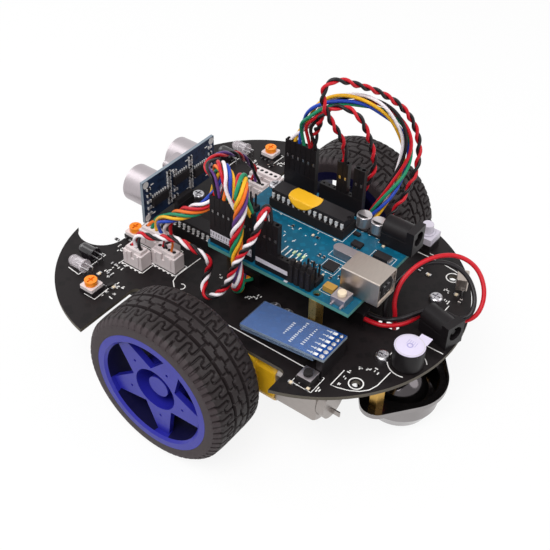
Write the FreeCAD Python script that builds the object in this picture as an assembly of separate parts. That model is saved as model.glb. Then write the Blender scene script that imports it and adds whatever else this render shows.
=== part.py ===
"""Line follower robot: a two-wheeled kit car built on one round circuit-board chassis.

Millimetres, +Z up. The robot drives towards -Y and its left side is +X. The origin lies on
the ground under the middle of the chassis board.
"""
import FreeCAD, Part
import math
import os

Vec = FreeCAD.Vector
X_AXIS = Vec(1, 0, 0)
Y_AXIS = Vec(0, 1, 0)
Z_AXIS = Vec(0, 0, 1)
ORIGIN = Vec(0, 0, 0)

# ---------------------------------------------------------------- driving dimensions
running_gap = 0.35        # between a moving piece and its neighbours
shaft_fit = 0.05          # radial running fit of a shaft or rotor in its bearing
slip_fit = 0.1            # radial clearance of a screw, pin or plug in its hole

# wheels
tyre_radius = 33.0
tyre_width = 26.5
wheel_face_x = 77.8       # outer face of the rim flange
axle_y = -1.9
rim_flange_radius = 26.2
rim_flange_width = 1.4
rim_bore_radius = 22.4
rim_wall = 1.8
rim_web_recess = 2.8      # star web behind the flange face
rim_web_thickness = 2.4
rim_cup_radius = 9.4
rim_cup_depth = 9.0
rim_boss_radius = 4.6
rim_boss_recess = 4.6
rim_hub_radius = 6.6
rim_spokes = 5
rim_spoke_turn = 61.0     # degrees, first spoke above the rear
rim_spoke_tip_width = 5.0
rim_spoke_hole_radius = 0.6
rim_spoke_hole_circle = 13.4
tread_depth = 1.6
tread_width = 20.8
tread_groove_width = 1.1
tread_groove_spacing = 7.4
tread_lugs = 40
tread_slot_width = 1.5
tread_slot_length = 3.2
sidewall_shoulder_radius = 30.6

# geared motors
gearbox_width = 18.8
gearbox_height = 22.5
gearbox_length = 37.0
gearbox_nose = 11.3       # from the axle to the front face
gearbox_wall = 1.6
gearbox_corner = 3.0
gearbox_tab_length = 5.0
gearbox_tab_thickness = 3.0
gearbox_screw_back = 20.0  # from the axle to the pair of through holes
gearbox_screw_spacing = 17.5
gearbox_boss_radius = 4.0
gearbox_boss_height = 1.2
wheel_gap = 3.0           # between the gearbox face and the tyre
shaft_radius = 2.7
shaft_flat = 1.85         # half of the distance over the shaft's two flats
shaft_grip = 9.0          # how far the shaft reaches into the wheel hub
motor_radius = 10.1
motor_flat = 7.6          # half of the distance over the can's flats
motor_length = 27.0
motor_cap_length = 3.4
motor_cap_radius = 9.2
motor_clip_width = 5.0
motor_clip_wall = 0.8
bracket_plate = 2.0
bracket_width = 12.0
bracket_height = 22.0
bolt_head_height = 1.6

# chassis board
board_thickness = 1.6
board_rear_radius = 61.7
board_rear_centre_y = 18.7
board_rear_y = board_rear_centre_y + board_rear_radius
well_inner_x = 47.6
well_front_y = -36.1
well_rear_y = 38.0
well_corner = 2.5
wing_centre_x = 24.4
wing_centre_y = -27.65
wing_radius = 54.0
horn_notch_x = 28.0
horn_notch_y = -72.0
horn_notch_radius = 11.5
horn_tip_x = 34.6
cable_slot = (3.0, 54.5)
cable_slot_width = 4.6
cable_slot_length = 9.0
spare_holes = [(36.9, board_rear_y - 19.1), (-35.6, board_rear_y - 19.1)]
fixing_hole_radius = 1.6

# screws, nuts and pillars
screw_radius = 1.5
screw_head_radius = 2.8
screw_head_height = 1.9
screw_length = 7.0
nut_across_flats = 5.5
nut_height = 2.4
pillar_across_flats = 5.5
controller_pillar_height = 18.0
caster_pillar_height = 25.0

# controller board, measured from its rear edge and its right edge
controller_length = 68.58
controller_tab = 2.54     # the front edge steps back by this much beside the tab
controller_tab_ends = (5.08, 37.85)
controller_width = 53.34
controller_thickness = 1.6
controller_rear_y = 49.5
controller_holes = [(15.24, 50.8), (13.97, 2.54), (66.04, 7.62), (66.04, 35.56)]
header_pitch = 2.54
header_width = 2.5
header_height = 8.5
header_cavity = 0.9       # side of the square pin cavities
digital_column = 50.8
analog_column = 2.54
digital_rows = (18.8, 45.72)
digital_row_counts = (10, 8)
analog_rows = (27.94, 50.8)
analog_row_counts = (8, 6)
usb_width = 12.0
usb_length = 16.25
usb_height = 10.9
usb_wall = 0.4
usb_overhang = 6.35
usb_centre = 38.2
controller_jack_width = 8.9
controller_jack_length = 14.2
controller_jack_height = 10.9
controller_jack_overhang = 1.8
controller_jack_centre = 7.75
jack_bore_radius = 3.1
jack_bore_depth = 9.5
jack_pin_radius = 1.0
chip_pin_count = 28
chip_body_width = 7.1
chip_row_spacing = 7.62
chip_body_height = 3.3
chip_lead = 0.5
chip_centre = (42.6, 15.0)
socket_height = 4.3
socket_width = 9.6

# soldered parts of the controller board: each place is row, column
capacitor_places = [(23.2, 6.9), (16.4, 6.9)]
crystal_place = (18.0, 27.2)
crystal_size = (4.6, 11.2, 3.5)
regulator_place = (6.6, 19.6)
regulator_size = (3.6, 6.6, 1.8)
regulator_tab_size = (3.0, 1.6, 1.0)
controller_chips = [
    ((12.4, 46.6), (3.2, 4.6, 2.2)),
    ((19.4, 35.6), (5.0, 5.0, 1.0)),
    ((18.4, 18.9), (3.0, 4.4, 1.3)),
    ((22.0, 13.4), (1.6, 2.9, 1.1)),
]
pin_header_places = [(21.0, 46.4), (64.2, 28.0)]
pin_header_counts = [(2, 3), (3, 2)]

# plugs on the controller headers
plug_pitch = 2.54
plug_width = 2.4
plug_height = 14.0
pin_side = 0.64
pin_length = 5.8          # below the housing or block that holds the pin
digital_plug_rows = (45.72, 34.04)
digital_plug_counts = (8, 4)
analog_plug_rows = (50.8, 35.56, 27.94)
analog_plug_counts = (6, 2, 2)

# serial radio module in its clear sleeve
radio_length = 37.5
radio_width = 15.4
radio_thickness = 1.2
radio_pitch = 6.6         # degrees, the pin end stands higher
radio_pin_end = (35.2, 50.6)
radio_sleeve_wall = 0.3
radio_sleeve_length = 33.0
radio_pin_count = 6
radio_pin_inset = 1.6
radio_rise = 0.4          # the module's rear end stands this far above its socket
radio_chip_height = 1.2
radio_sleeve_inset = 4.6

# distance sensor
sonar_width = 45.0
sonar_height = 20.0
sonar_thickness = 1.4
sonar_y = -52.6           # rear face of its board
sonar_radius = 8.0
sonar_depth = 12.0
sonar_spacing = 26.0
sonar_pin_count = 4

# small parts on the chassis board
wire_socket_width = 5.8
wire_socket_height = 7.0
wire_socket_wall = 0.8
wire_socket_floor = 1.6
wire_plug_rise = 1.4      # the plug stands this far out of its socket
wire_pin_pitch = 2.5
left_wire_sockets = [(36.1, -45.2), (29.3, -34.8), (22.9, -44.8)]
left_wire_socket_counts = (3, 4, 6)
right_wire_sockets = [(-29.3, -34.8), (-37.8, -35.2)]
right_wire_socket_counts = (4, 5)
power_terminal_place = (8.5, 44.0)
power_terminal_size = (5.0, 6.5, 6.0)
motor_terminal_place = (-12.0, 19.0)
motor_terminal_size = (8.0, 22.0, 8.0)
harness_terminal_place = (13.0, -3.0)
harness_terminal_size = (10.0, 12.0, 6.5)
buzzer_place = (17.0, board_rear_y - 9.6)
buzzer_radius = 6.0
buzzer_height = 9.2
buzzer_label_thickness = 0.3
buzzer_label_tab = 3.0
charging_jack_place = (-3.2, board_rear_y - 7.4)
charging_jack_turn = -15.0
power_switch_place = (15.2 - board_rear_radius, 42.0)
power_switch_side = 8.5
power_switch_height = 7.2
power_switch_shell = 3.0  # height of the pale upper shell
power_switch_travel = 1.5
plunger_radius = 2.4
plunger_height = 4.8
user_switch_place = (radio_pin_end[0] + 10.9, radio_pin_end[1] - 4.0)
tact_side = 6.0
tact_height = 3.4
tact_button_radius = 1.7
tact_button_height = 1.4
tact_travel = 0.25
reset_switch_place = (5.8, 49.0)
trimmer_side = 6.6
trimmer_height = 3.0
trimmer_rotor_radius = 2.6
trimmer_rotor_height = 2.2
trimmer_places = {"left": (59.0, -48.5), "front": (23.6, -57.6), "right": (-59.0, -48.5)}
emitter_places = [(53.0, -62.0), (-53.0, -62.0)]
receiver_places = [(45.3, -64.0), (-45.3, -64.0)]
lamp_radius = 2.5
lamp_length = 8.6
remote_place = (-30.4, board_rear_y - 13.0)
remote_turn = 25.0

# caster
caster_y = board_rear_y - 18.4
caster_screw_spacing = 40.0
caster_ball_radius = 10.0
caster_disc_radius = 18.7
caster_lobe_radius = 6.4
caster_flange_thickness = 1.0
caster_bowl_radius = 16.0
caster_bowl_wall = 0.9
caster_bowl_floor = 3.0   # lowest level of the bowl above the ground
caster_bowl_knee = 6.0    # the wall is upright from this far above the bowl's floor
caster_bowl_taper = 3.0
caster_lip_height = 1.2
caster_lip_width = 0.8
caster_socket_wall = 1.6
caster_socket_skirt = 1.5

# batteries and the line sensor bar underneath
cell_radius = 9.2
cell_length = 65.0
holder_wall = 1.5
holder_length = 77.0
holder_feet = 3.0
holder_y = -1.5
holder_depth = 15.0
sensor_bar_y = -55.0
sensor_bar_length = 62.0
sensor_bar_width = 18.0
sensor_bar_pillar = 25.0
sensor_bar_hole_spacing = 28.0
line_sensor_size = (10.2, 5.8, 7.0)
line_sensor_count = 3
line_sensor_spacing = 20.0

# ---------------------------------------------------------------- derived levels
wheel_inner_x = wheel_face_x - tyre_width
gearbox_outer_x = wheel_inner_x - wheel_gap
gearbox_inner_x = gearbox_outer_x - gearbox_width
gearbox_centre_x = (gearbox_outer_x + gearbox_inner_x) / 2
gearbox_front_y = axle_y - gearbox_nose
gearbox_rear_y = gearbox_front_y + gearbox_length
chassis_bottom = tyre_radius + gearbox_height / 2
chassis_top = chassis_bottom + board_thickness
controller_bottom = chassis_top + controller_pillar_height
controller_top = controller_bottom + controller_thickness
caster_flange_top = chassis_bottom - caster_pillar_height


# ---------------------------------------------------------------- shape helpers
def block(x0, x1, y0, y1, z0, z1):
    return Part.makeBox(x1 - x0, y1 - y0, z1 - z0, Vec(x0, y0, z0))


def centred_block(x, y, z, dx, dy, dz):
    """A box on level z, centred over x, y."""
    return Part.makeBox(dx, dy, dz, Vec(x - dx / 2, y - dy / 2, z))


def cylinder(radius, height, base, axis=Z_AXIS):
    return Part.makeCylinder(radius, height, base, axis)


def hexagon(across_flats, height, x, y, z, turn=0):
    corner = across_flats / math.sqrt(3)
    points = [
        Vec(x + corner * math.cos(math.radians(a)), y + corner * math.sin(math.radians(a)), z)
        for a in range(turn, turn + 361, 60)
    ]
    return Part.Face(Part.makePolygon(points)).extrude(Vec(0, 0, height))


def prism(points, base, height, axis=Z_AXIS):
    """Extrude a closed outline of (u, v) points; u, v lie in the plane normal to the axis."""
    if axis is X_AXIS:
        corners = [Vec(base, u, v) for u, v in points]
    elif axis is Y_AXIS:
        corners = [Vec(u, base, v) for u, v in points]
    else:
        corners = [Vec(u, v, base) for u, v in points]
    face = Part.Face(Part.makePolygon(corners + corners[:1]))
    return face.extrude(axis * height)


def turned(points, centre, axis, start):
    """Revolve a closed (along, radius) profile about an axis through a centre."""
    corners = [centre + axis * a + start * r for a, r in points]
    face = Part.Face(Part.makePolygon(corners + corners[:1]))
    return face.revolve(centre, axis, 360)


def fused(shapes):
    first, rest = shapes[0], shapes[1:]
    return first.fuse(rest).removeSplitter() if rest else first


def rounded(shape, radius, axis):
    """Round the straight edges that run along an axis."""
    edges = [
        e for e in shape.Edges
        if isinstance(e.Curve, Part.Line) and abs(e.Curve.Direction.dot(axis)) > 0.999
    ]
    return shape.makeFillet(radius, edges)


def moved(shape, x=0.0, y=0.0, z=0.0, turn=0.0):
    """Turn a shape about the vertical through the origin, then move it."""
    copy = shape.copy()
    copy.rotate(ORIGIN, Z_AXIS, turn)
    copy.translate(Vec(x, y, z))
    return copy


def mirrored(shape):
    return shape.mirror(ORIGIN, X_AXIS)


def group(shapes):
    return Part.makeCompound(shapes)


def solids_of(shape):
    return list(shape.Solids)


# ---------------------------------------------------------------- places on the boards
def controller_place(row, column):
    """World x, y of a point given from the controller's rear edge and right edge."""
    return column - controller_width / 2, controller_rear_y - row


def controller_fixings():
    return [controller_place(row, column) for row, column in controller_holes]


def caster_fixings():
    return [(side * caster_screw_spacing / 2, caster_y) for side in (1, -1)]


def sensor_bar_fixings():
    return [(side * sensor_bar_hole_spacing / 2, sensor_bar_y) for side in (1, -1)]


def bracket_y():
    return axle_y + gearbox_screw_back


def bracket_fixings():
    nut_corner = nut_across_flats / math.sqrt(3)
    reach = gearbox_inner_x - bracket_plate - nut_corner - running_gap
    return [
        (side * reach, bracket_y() + offset * bracket_width / 4)
        for side in (1, -1)
        for offset in (1, -1)
    ]


def holder_half_width():
    return 2 * cell_radius + 1.5 * holder_wall


def holder_fixings():
    return [(0.0, holder_y + side * holder_length / 4) for side in (1, -1)]


# ---------------------------------------------------------------- chassis
def board_outline():
    """Round rear, a wheel well each side, and two front wings that end in horns."""
    well_rear_x = math.sqrt(board_rear_radius**2 - (well_rear_y - board_rear_centre_y) ** 2)
    wing_x = wing_centre_x + math.sqrt(wing_radius**2 - (well_front_y - wing_centre_y) ** 2)
    wing_mid = math.radians(-35)
    tip_y = wing_centre_y - math.sqrt(wing_radius**2 - (horn_tip_x - wing_centre_x) ** 2)
    notch_rear_y = horn_notch_y + horn_notch_radius

    def half(side):
        points = {
            "rear": Vec(0, board_rear_y, 0),
            "rear_corner": Vec(side * well_rear_x, well_rear_y, 0),
            "well_rear": Vec(side * well_inner_x, well_rear_y, 0),
            "well_front": Vec(side * well_inner_x, well_front_y, 0),
            "wing_corner": Vec(side * wing_x, well_front_y, 0),
            "tip": Vec(side * horn_tip_x, tip_y, 0),
            "notch_rear": Vec(side * horn_notch_x, notch_rear_y, 0),
            "front": Vec(0, notch_rear_y, 0),
        }
        half_angle = math.atan2(well_rear_y - board_rear_centre_y, well_rear_x) / 2 + math.pi / 4
        rear_mid = Vec(
            side * board_rear_radius * math.cos(half_angle),
            board_rear_centre_y + board_rear_radius * math.sin(half_angle),
            0,
        )
        wing_middle = Vec(
            side * (wing_centre_x + wing_radius * math.cos(wing_mid)),
            wing_centre_y + wing_radius * math.sin(wing_mid),
            0,
        )
        notch_middle = Vec(side * (horn_notch_x + horn_notch_radius), horn_notch_y, 0)
        return [
            Part.Arc(points["rear"], rear_mid, points["rear_corner"]).toShape(),
            Part.LineSegment(points["rear_corner"], points["well_rear"]).toShape(),
            Part.LineSegment(points["well_rear"], points["well_front"]).toShape(),
            Part.LineSegment(points["well_front"], points["wing_corner"]).toShape(),
            Part.Arc(points["wing_corner"], wing_middle, points["tip"]).toShape(),
            Part.Arc(points["tip"], notch_middle, points["notch_rear"]).toShape(),
            Part.LineSegment(points["notch_rear"], points["front"]).toShape(),
        ]

    return Part.Wire(Part.__sortEdges__(half(1) + half(-1)))


def chassis_board():
    plate = Part.Face(board_outline()).extrude(Vec(0, 0, board_thickness))
    plate.translate(Vec(0, 0, chassis_bottom))
    inner_corners = [
        e for e in plate.Edges
        if isinstance(e.Curve, Part.Line)
        and abs(e.Curve.Direction.z) > 0.999
        and abs(abs(e.CenterOfMass.x) - well_inner_x) < 0.01
    ]
    plate = plate.makeFillet(well_corner, inner_corners)
    holes = controller_fixings() + caster_fixings() + sensor_bar_fixings()
    holes += bracket_fixings() + holder_fixings() + spare_holes
    cuts = [
        cylinder(fixing_hole_radius, board_thickness, Vec(x, y, chassis_bottom)) for x, y in holes
    ]
    slot = rounded(
        centred_block(*cable_slot, chassis_bottom, cable_slot_width, cable_slot_length, board_thickness),
        cable_slot_width / 2 - 0.01,
        Z_AXIS,
    )
    return plate.cut(cuts + [slot])


def pan_head_screw(x, y, seat, length, down=True):
    """A pan-head machine screw whose head stands on a seat level."""
    sense = -1 if down else 1
    axis = Vec(0, 0, sense)
    shank = cylinder(screw_radius, length, Vec(x, y, seat), axis)
    head = cylinder(screw_head_radius, screw_head_height, Vec(x, y, seat), axis * -1)
    rim = [e for e in head.Edges if abs(e.CenterOfMass.z - seat) > screw_head_height / 2]
    head = head.makeFillet(screw_head_height * 0.55, rim[:1])
    top = seat - sense * screw_head_height
    arm = screw_head_radius * 0.62
    recess = [
        centred_block(x, y, 0, 2 * arm, 0.7, 1.0),
        centred_block(x, y, 0, 0.7, 2 * arm, 1.0),
    ]
    for bar in recess:
        bar.translate(Vec(0, 0, top - (1.0 if down else 0.0)))
    return head.fuse(shank).cut(recess)


def nut(x, y, z):
    body = hexagon(nut_across_flats, nut_height, x, y, z)
    return body.cut(cylinder(screw_radius + slip_fit, nut_height, Vec(x, y, z)))


def pillar(x, y, z, height):
    body = hexagon(pillar_across_flats, height, x, y, z, 30)
    return body.cut(cylinder(screw_radius + slip_fit, height, Vec(x, y, z)))


def controller_pillars():
    return group([pillar(x, y, chassis_top, controller_pillar_height) for x, y in controller_fixings()])


def underside_pillars():
    caster = [pillar(x, y, caster_flange_top, caster_pillar_height) for x, y in caster_fixings()]
    bar_top = chassis_bottom - sensor_bar_pillar
    bar = [pillar(x, y, bar_top, sensor_bar_pillar) for x, y in sensor_bar_fixings()]
    return group(caster + bar)


def screws_and_nuts():
    """Every upright machine screw of the robot and the bracket nuts, as separate solids."""
    places = controller_fixings()
    front_row = max(row for row, _ in controller_holes)
    screws = [pan_head_screw(x, y, chassis_bottom, screw_length, down=False) for x, y in places]
    for (row, _), (x, y) in zip(controller_holes, places):
        if row == front_row:
            screws.append(pan_head_screw(x, y, controller_top, screw_length))
    flange_seat = caster_flange_top - caster_flange_thickness
    bar_seat = chassis_bottom - sensor_bar_pillar - board_thickness
    for fixings, seat in ((caster_fixings(), flange_seat), (sensor_bar_fixings(), bar_seat)):
        for x, y in fixings:
            screws.append(pan_head_screw(x, y, chassis_top, screw_length))
            screws.append(pan_head_screw(x, y, seat, screw_length, down=False))
    nut_level = chassis_bottom - bracket_plate - nut_height
    for x, y in bracket_fixings():
        screws.append(pan_head_screw(x, y, chassis_top, chassis_top - nut_level))
        screws.append(nut(x, y, nut_level))
    for x, y in holder_fixings():
        screws.append(pan_head_screw(x, y, chassis_top, board_thickness + holder_feet))
    return group(screws)


# ---------------------------------------------------------------- drive
def axle_point(x):
    return Vec(x, axle_y, tyre_radius)


def left_tyre():
    inner, outer = wheel_inner_x, wheel_face_x
    seat = rim_bore_radius + rim_wall + shaft_fit
    lip = rim_flange_radius + shaft_fit
    flange = rim_flange_width + shaft_fit
    tread = (tyre_width - tread_width) / 2
    groove = tread_groove_width / 2
    bottom = tyre_radius - tread_depth
    middle = (inner + outer) / 2
    half_profile = [
        (outer - flange, seat),
        (outer - flange, lip),
        (outer, lip),
        (outer, sidewall_shoulder_radius),
        (outer - tread * 0.45, (sidewall_shoulder_radius + tyre_radius) / 2 + 0.4),
        (outer - tread, tyre_radius),
    ]
    grooves = []
    for line in (tread_groove_spacing / 2, -tread_groove_spacing / 2):
        at = middle + line
        grooves += [
            (at + groove, tyre_radius),
            (at + groove, bottom),
            (at - groove, bottom),
            (at - groove, tyre_radius),
        ]
    other_half = [(2 * middle - a, r) for a, r in reversed(half_profile)]
    body = turned(half_profile + grooves + other_half, axle_point(0), X_AXIS, Z_AXIS)
    slots = []
    for side in (1, -1):
        edge = middle + side * (tyre_width / 2 - tread_slot_length / 2 + 0.2)
        for i in range(tread_lugs):
            slot = block(
                edge - tread_slot_length / 2 - 0.2, edge + tread_slot_length / 2 + 0.2,
                -tread_slot_width / 2, tread_slot_width / 2, tyre_radius - tread_depth, tyre_radius + 1,
            )
            slot.rotate(ORIGIN, X_AXIS, 360 * (i + 0.25 * side) / tread_lugs)
            slot.translate(axle_point(0))
            slots.append(slot)
    return body.cut(slots)


def star_web():
    """Five tapering spokes between the hub cup and the barrel, each with a pin hole."""
    front = wheel_face_x - rim_web_recess
    valley = rim_cup_radius + 1.3
    reach = rim_bore_radius + rim_wall / 2
    half_tip = math.asin(rim_spoke_tip_width / 2 / reach)
    points = []
    for i in range(rim_spokes):
        mid = math.radians(rim_spoke_turn + 360 * i / rim_spokes)
        gap = mid + math.pi / rim_spokes
        for radius, angle in ((reach, mid - half_tip), (reach, mid + half_tip), (valley, gap)):
            points.append((axle_y + radius * math.cos(angle), tyre_radius + radius * math.sin(angle)))
    web = prism(points, front - rim_web_thickness, rim_web_thickness, X_AXIS)
    holes = []
    for i in range(rim_spokes):
        angle = math.radians(rim_spoke_turn + 360 * i / rim_spokes)
        centre = axle_point(front - rim_web_thickness) + Vec(
            0, rim_spoke_hole_circle * math.cos(angle), rim_spoke_hole_circle * math.sin(angle)
        )
        holes.append(cylinder(rim_spoke_hole_radius, rim_web_thickness, centre, X_AXIS))
    return web.cut(holes)


def flatted_bar(radius, half_flat, length, start):
    """A round bar along X from a start point, with two flats above and below."""
    bar = cylinder(radius, length, start, X_AXIS)
    keep = Part.makeBox(length, 2 * radius, 2 * half_flat, start + Vec(0, -radius, -half_flat))
    return bar.common(keep)


def left_rim():
    inner, outer = wheel_inner_x, wheel_face_x
    bore, wall = rim_bore_radius, rim_bore_radius + rim_wall
    barrel = turned(
        [
            (inner, bore),
            (outer - 1.0, bore),
            (outer, bore + 1.0),
            (outer, rim_flange_radius),
            (outer - rim_flange_width, rim_flange_radius),
            (outer - rim_flange_width, wall),
            (inner + rim_flange_width, wall),
            (inner + rim_flange_width, rim_flange_radius),
            (inner, rim_flange_radius),
        ],
        axle_point(0), X_AXIS, Z_AXIS,
    )
    front = outer - rim_web_recess
    cup_floor = front - rim_cup_depth
    floor_thickness = 2.0
    hub = turned(
        [
            (inner, 0), (inner, rim_hub_radius), (cup_floor - floor_thickness, rim_hub_radius),
            (cup_floor - floor_thickness, rim_cup_radius + 1.4), (front, rim_cup_radius + 1.4),
            (front, rim_cup_radius), (cup_floor, rim_cup_radius), (cup_floor, rim_boss_radius),
            (outer - rim_boss_recess, rim_boss_radius), (outer - rim_boss_recess, 0),
        ],
        axle_point(0), X_AXIS, Z_AXIS,
    )
    cup_space = cylinder(rim_cup_radius, rim_web_thickness, axle_point(front - rim_web_thickness), X_AXIS)
    web = star_web().cut(cup_space)
    socket = flatted_bar(
        shaft_radius + shaft_fit, shaft_flat + shaft_fit, shaft_grip + 0.5, axle_point(inner)
    )
    return fused([barrel, hub, web]).cut(socket)


def gear_disc(teeth, module, width, centre, axis, start):
    """A straight-toothed gear: a root disc with trapezoid teeth."""
    root = module * (teeth - 2.5) / 2
    tip = module * (teeth + 2) / 2
    side = axis.cross(start)
    outline = []
    for i in range(teeth):
        mid = 2 * math.pi * i / teeth
        pitch = 2 * math.pi / teeth
        for radius, offset in ((root, -0.29), (tip, -0.11), (tip, 0.11), (root, 0.29)):
            angle = mid + offset * pitch
            outline.append(centre + start * (radius * math.cos(angle)) + side * (radius * math.sin(angle)))
    return Part.Face(Part.makePolygon(outline + outline[:1])).extrude(axis * width)


def left_shaft():
    """The wheel's shaft with its output gear, running in the two gearbox walls."""
    start = gearbox_inner_x + 0.4
    journal = gearbox_outer_x + gearbox_boss_height - start
    bar = cylinder(shaft_radius, journal, axle_point(start), X_AXIS)
    grip_start = start + journal
    grip = flatted_bar(
        shaft_radius, shaft_flat, wheel_inner_x + shaft_grip - grip_start, axle_point(grip_start)
    )
    gear = gear_disc(26, 0.6, 4.0, axle_point(gearbox_centre_x - 2.0), X_AXIS, Z_AXIS)
    return fused([bar, grip, gear])


def left_gearbox():
    """Two half shells with a cavity for the gears, a nose tab and two screw tunnels."""
    x0, x1 = gearbox_inner_x, gearbox_outer_x
    z0, z1 = tyre_radius - gearbox_height / 2, tyre_radius + gearbox_height / 2
    wall = gearbox_wall
    shell = rounded(block(x0, x1, gearbox_front_y, gearbox_rear_y, z0, z1), gearbox_corner, X_AXIS)
    cavity = block(
        x0 + wall, x1 - wall, gearbox_front_y + wall, gearbox_rear_y - wall, z0 + wall, z1 - wall
    )
    tab = block(
        gearbox_centre_x - gearbox_tab_thickness / 2, gearbox_centre_x + gearbox_tab_thickness / 2,
        gearbox_front_y - gearbox_tab_length, gearbox_front_y + wall / 2,
        tyre_radius - gearbox_tab_length / 2, tyre_radius + gearbox_tab_length / 2,
    )
    tab_hole = cylinder(
        screw_radius, gearbox_tab_thickness,
        Vec(
            gearbox_centre_x - gearbox_tab_thickness / 2,
            gearbox_front_y - gearbox_tab_length / 2,
            tyre_radius,
        ),
        X_AXIS,
    )
    boss = cylinder(gearbox_boss_radius, gearbox_boss_height, axle_point(x1), X_AXIS)
    tunnels = [
        Vec(x0, bracket_y(), tyre_radius + side * gearbox_screw_spacing / 2) for side in (1, -1)
    ]
    posts = [cylinder(screw_radius + 1.2, gearbox_width, at, X_AXIS) for at in tunnels]
    body = fused([shell.cut(cavity), tab, boss] + [p.common(shell) for p in posts])
    holes = [cylinder(screw_radius + slip_fit, gearbox_width, at, X_AXIS) for at in tunnels]
    reach = gearbox_width + gearbox_boss_height
    holes.append(cylinder(shaft_radius + shaft_fit, reach, axle_point(x0), X_AXIS))
    holes.append(cylinder(3.2, wall, Vec(gearbox_centre_x, gearbox_rear_y - wall, tyre_radius), Y_AXIS))
    body = body.cut(holes + [tab_hole])
    middle = gearbox_centre_x
    far = 100.0
    inner_half = body.common(block(x0 - 1, middle, -far, far, 0, far))
    outer_half = body.common(block(middle, x1 + 10, -far, far, 0, far))
    return group([inner_half, outer_half])


def left_motor():
    """A flat-sided motor can with its end cap, terminals and a pinion on its shaft."""
    x, y, z = gearbox_centre_x, gearbox_rear_y, tyre_radius
    flats = block(x - motor_flat, x + motor_flat, y - 20, y + 60, z - 20, z + 20)
    can = cylinder(motor_radius, motor_length, Vec(x, y, z), Y_AXIS).common(flats)
    edge = [e for e in can.Edges if abs(e.CenterOfMass.y - y - motor_length) < 0.01]
    can = can.makeFillet(1.2, edge)
    nose = cylinder(3.0, gearbox_wall, Vec(x, y, z), Y_AXIS * -1)
    shaft = cylinder(1.0, 9.0, Vec(x, y, z), Y_AXIS * -1)
    pinion = cylinder(2.4, 5.0, Vec(x, y - 4.0, z), Y_AXIS * -1)
    cap_y = y + motor_length
    cap = cylinder(motor_cap_radius - 2.0, motor_cap_length, Vec(x, cap_y, z), Y_AXIS).common(flats)
    tags = [
        block(x - 0.3, x + 0.3, cap_y + motor_cap_length, cap_y + motor_cap_length + 3.0,
              z + side * 5.5 - 1.2, z + side * 5.5 + 1.2)
        for side in (1, -1)
    ]
    return group([fused([can, nose, shaft, pinion]), fused([cap] + tags)])


def left_bracket():
    """An angle plate between the gearbox side and the chassis board, with two long bolts."""
    x1 = gearbox_inner_x
    y = bracket_y()
    z1 = chassis_bottom
    upright = block(x1 - bracket_plate, x1, y - bracket_width / 2, y + bracket_width / 2,
                    z1 - bracket_height, z1)
    foot = block(x1 - bracket_width * 2 / 3, x1, y - bracket_width / 2, y + bracket_width / 2,
                 z1 - bracket_plate, z1)
    plate = fused([upright, foot])
    holes = [cylinder(screw_radius + slip_fit, bracket_plate, Vec(x, hy, z1 - bracket_plate))
             for x, hy in bracket_fixings() if x > 0]
    bolts = []
    for side in (1, -1):
        end = Vec(x1 - bracket_plate, y, tyre_radius + side * gearbox_screw_spacing / 2)
        holes.append(cylinder(screw_radius, bracket_plate, end, X_AXIS))
        shank = cylinder(screw_radius, gearbox_width + bracket_plate, end, X_AXIS)
        head = cylinder(screw_head_radius, bolt_head_height, Vec(gearbox_outer_x, y, end.z), X_AXIS)
        bolts.append(fused([shank, head]))
    return group([plate.cut(holes)] + bolts)


# ---------------------------------------------------------------- controller board
def controller_board():
    front = controller_rear_y - controller_length
    step = front + controller_tab
    half = controller_width / 2
    right_tab, left_tab = (column - half for column in controller_tab_ends)
    slant = 1.3
    outline = [
        (half, controller_rear_y), (half, step + slant), (half - slant, step),
        (left_tab + controller_tab, step), (left_tab, front), (right_tab, front),
        (right_tab - controller_tab, step), (-half, step), (-half, controller_rear_y),
    ]
    plate = prism(outline, controller_bottom, controller_thickness)
    return plate.cut([
        cylinder(fixing_hole_radius, controller_thickness, Vec(x, y, controller_bottom))
        for x, y in controller_fixings()
    ])


def header_strip(x, y, z, pins, along_y=True):
    """A female pin strip with a square cavity for each pin; x, y is the first pin."""
    length = pins * header_pitch
    start = -header_pitch / 2
    body = block(start, start + length, -header_width / 2, header_width / 2, 0, header_height)
    depth = pin_length + running_gap
    cavities = [
        centred_block(i * header_pitch, 0, header_height - depth, header_cavity, header_cavity, depth)
        for i in range(pins)
    ]
    strip = body.cut(cavities)
    return moved(strip, x, y, z, -90 if along_y else 0)


def header_strips(rows, row_counts, column):
    return group([
        header_strip(*controller_place(row, column), controller_top, pins)
        for row, pins in zip(rows, row_counts)
    ])


def jumper_plug(x, y, z):
    """A one-way crimp housing with its pin and the small window of its latch."""
    body = centred_block(x, y, z, plug_width, plug_width, plug_height)
    window_level = z + plug_height * 0.42
    windows = [
        centred_block(x + side * plug_width / 2, y, window_level, 0.8, 1.2, 1.8) for side in (1, -1)
    ]
    wire_way = cylinder(0.85, plug_height * 0.3, Vec(x, y, z + plug_height * 0.7))
    pin = centred_block(x, y, z - pin_length, pin_side, pin_side, pin_length)
    return body.cut(windows + [wire_way]).fuse(pin)


def plug_rows(rows, row_counts, column):
    plugs = []
    for first_row, count in zip(rows, row_counts):
        for i in range(count):
            x, y = controller_place(first_row + i * header_pitch, column)
            plugs.append(jumper_plug(x, y, controller_top + header_height))
    return group(plugs)


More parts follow.
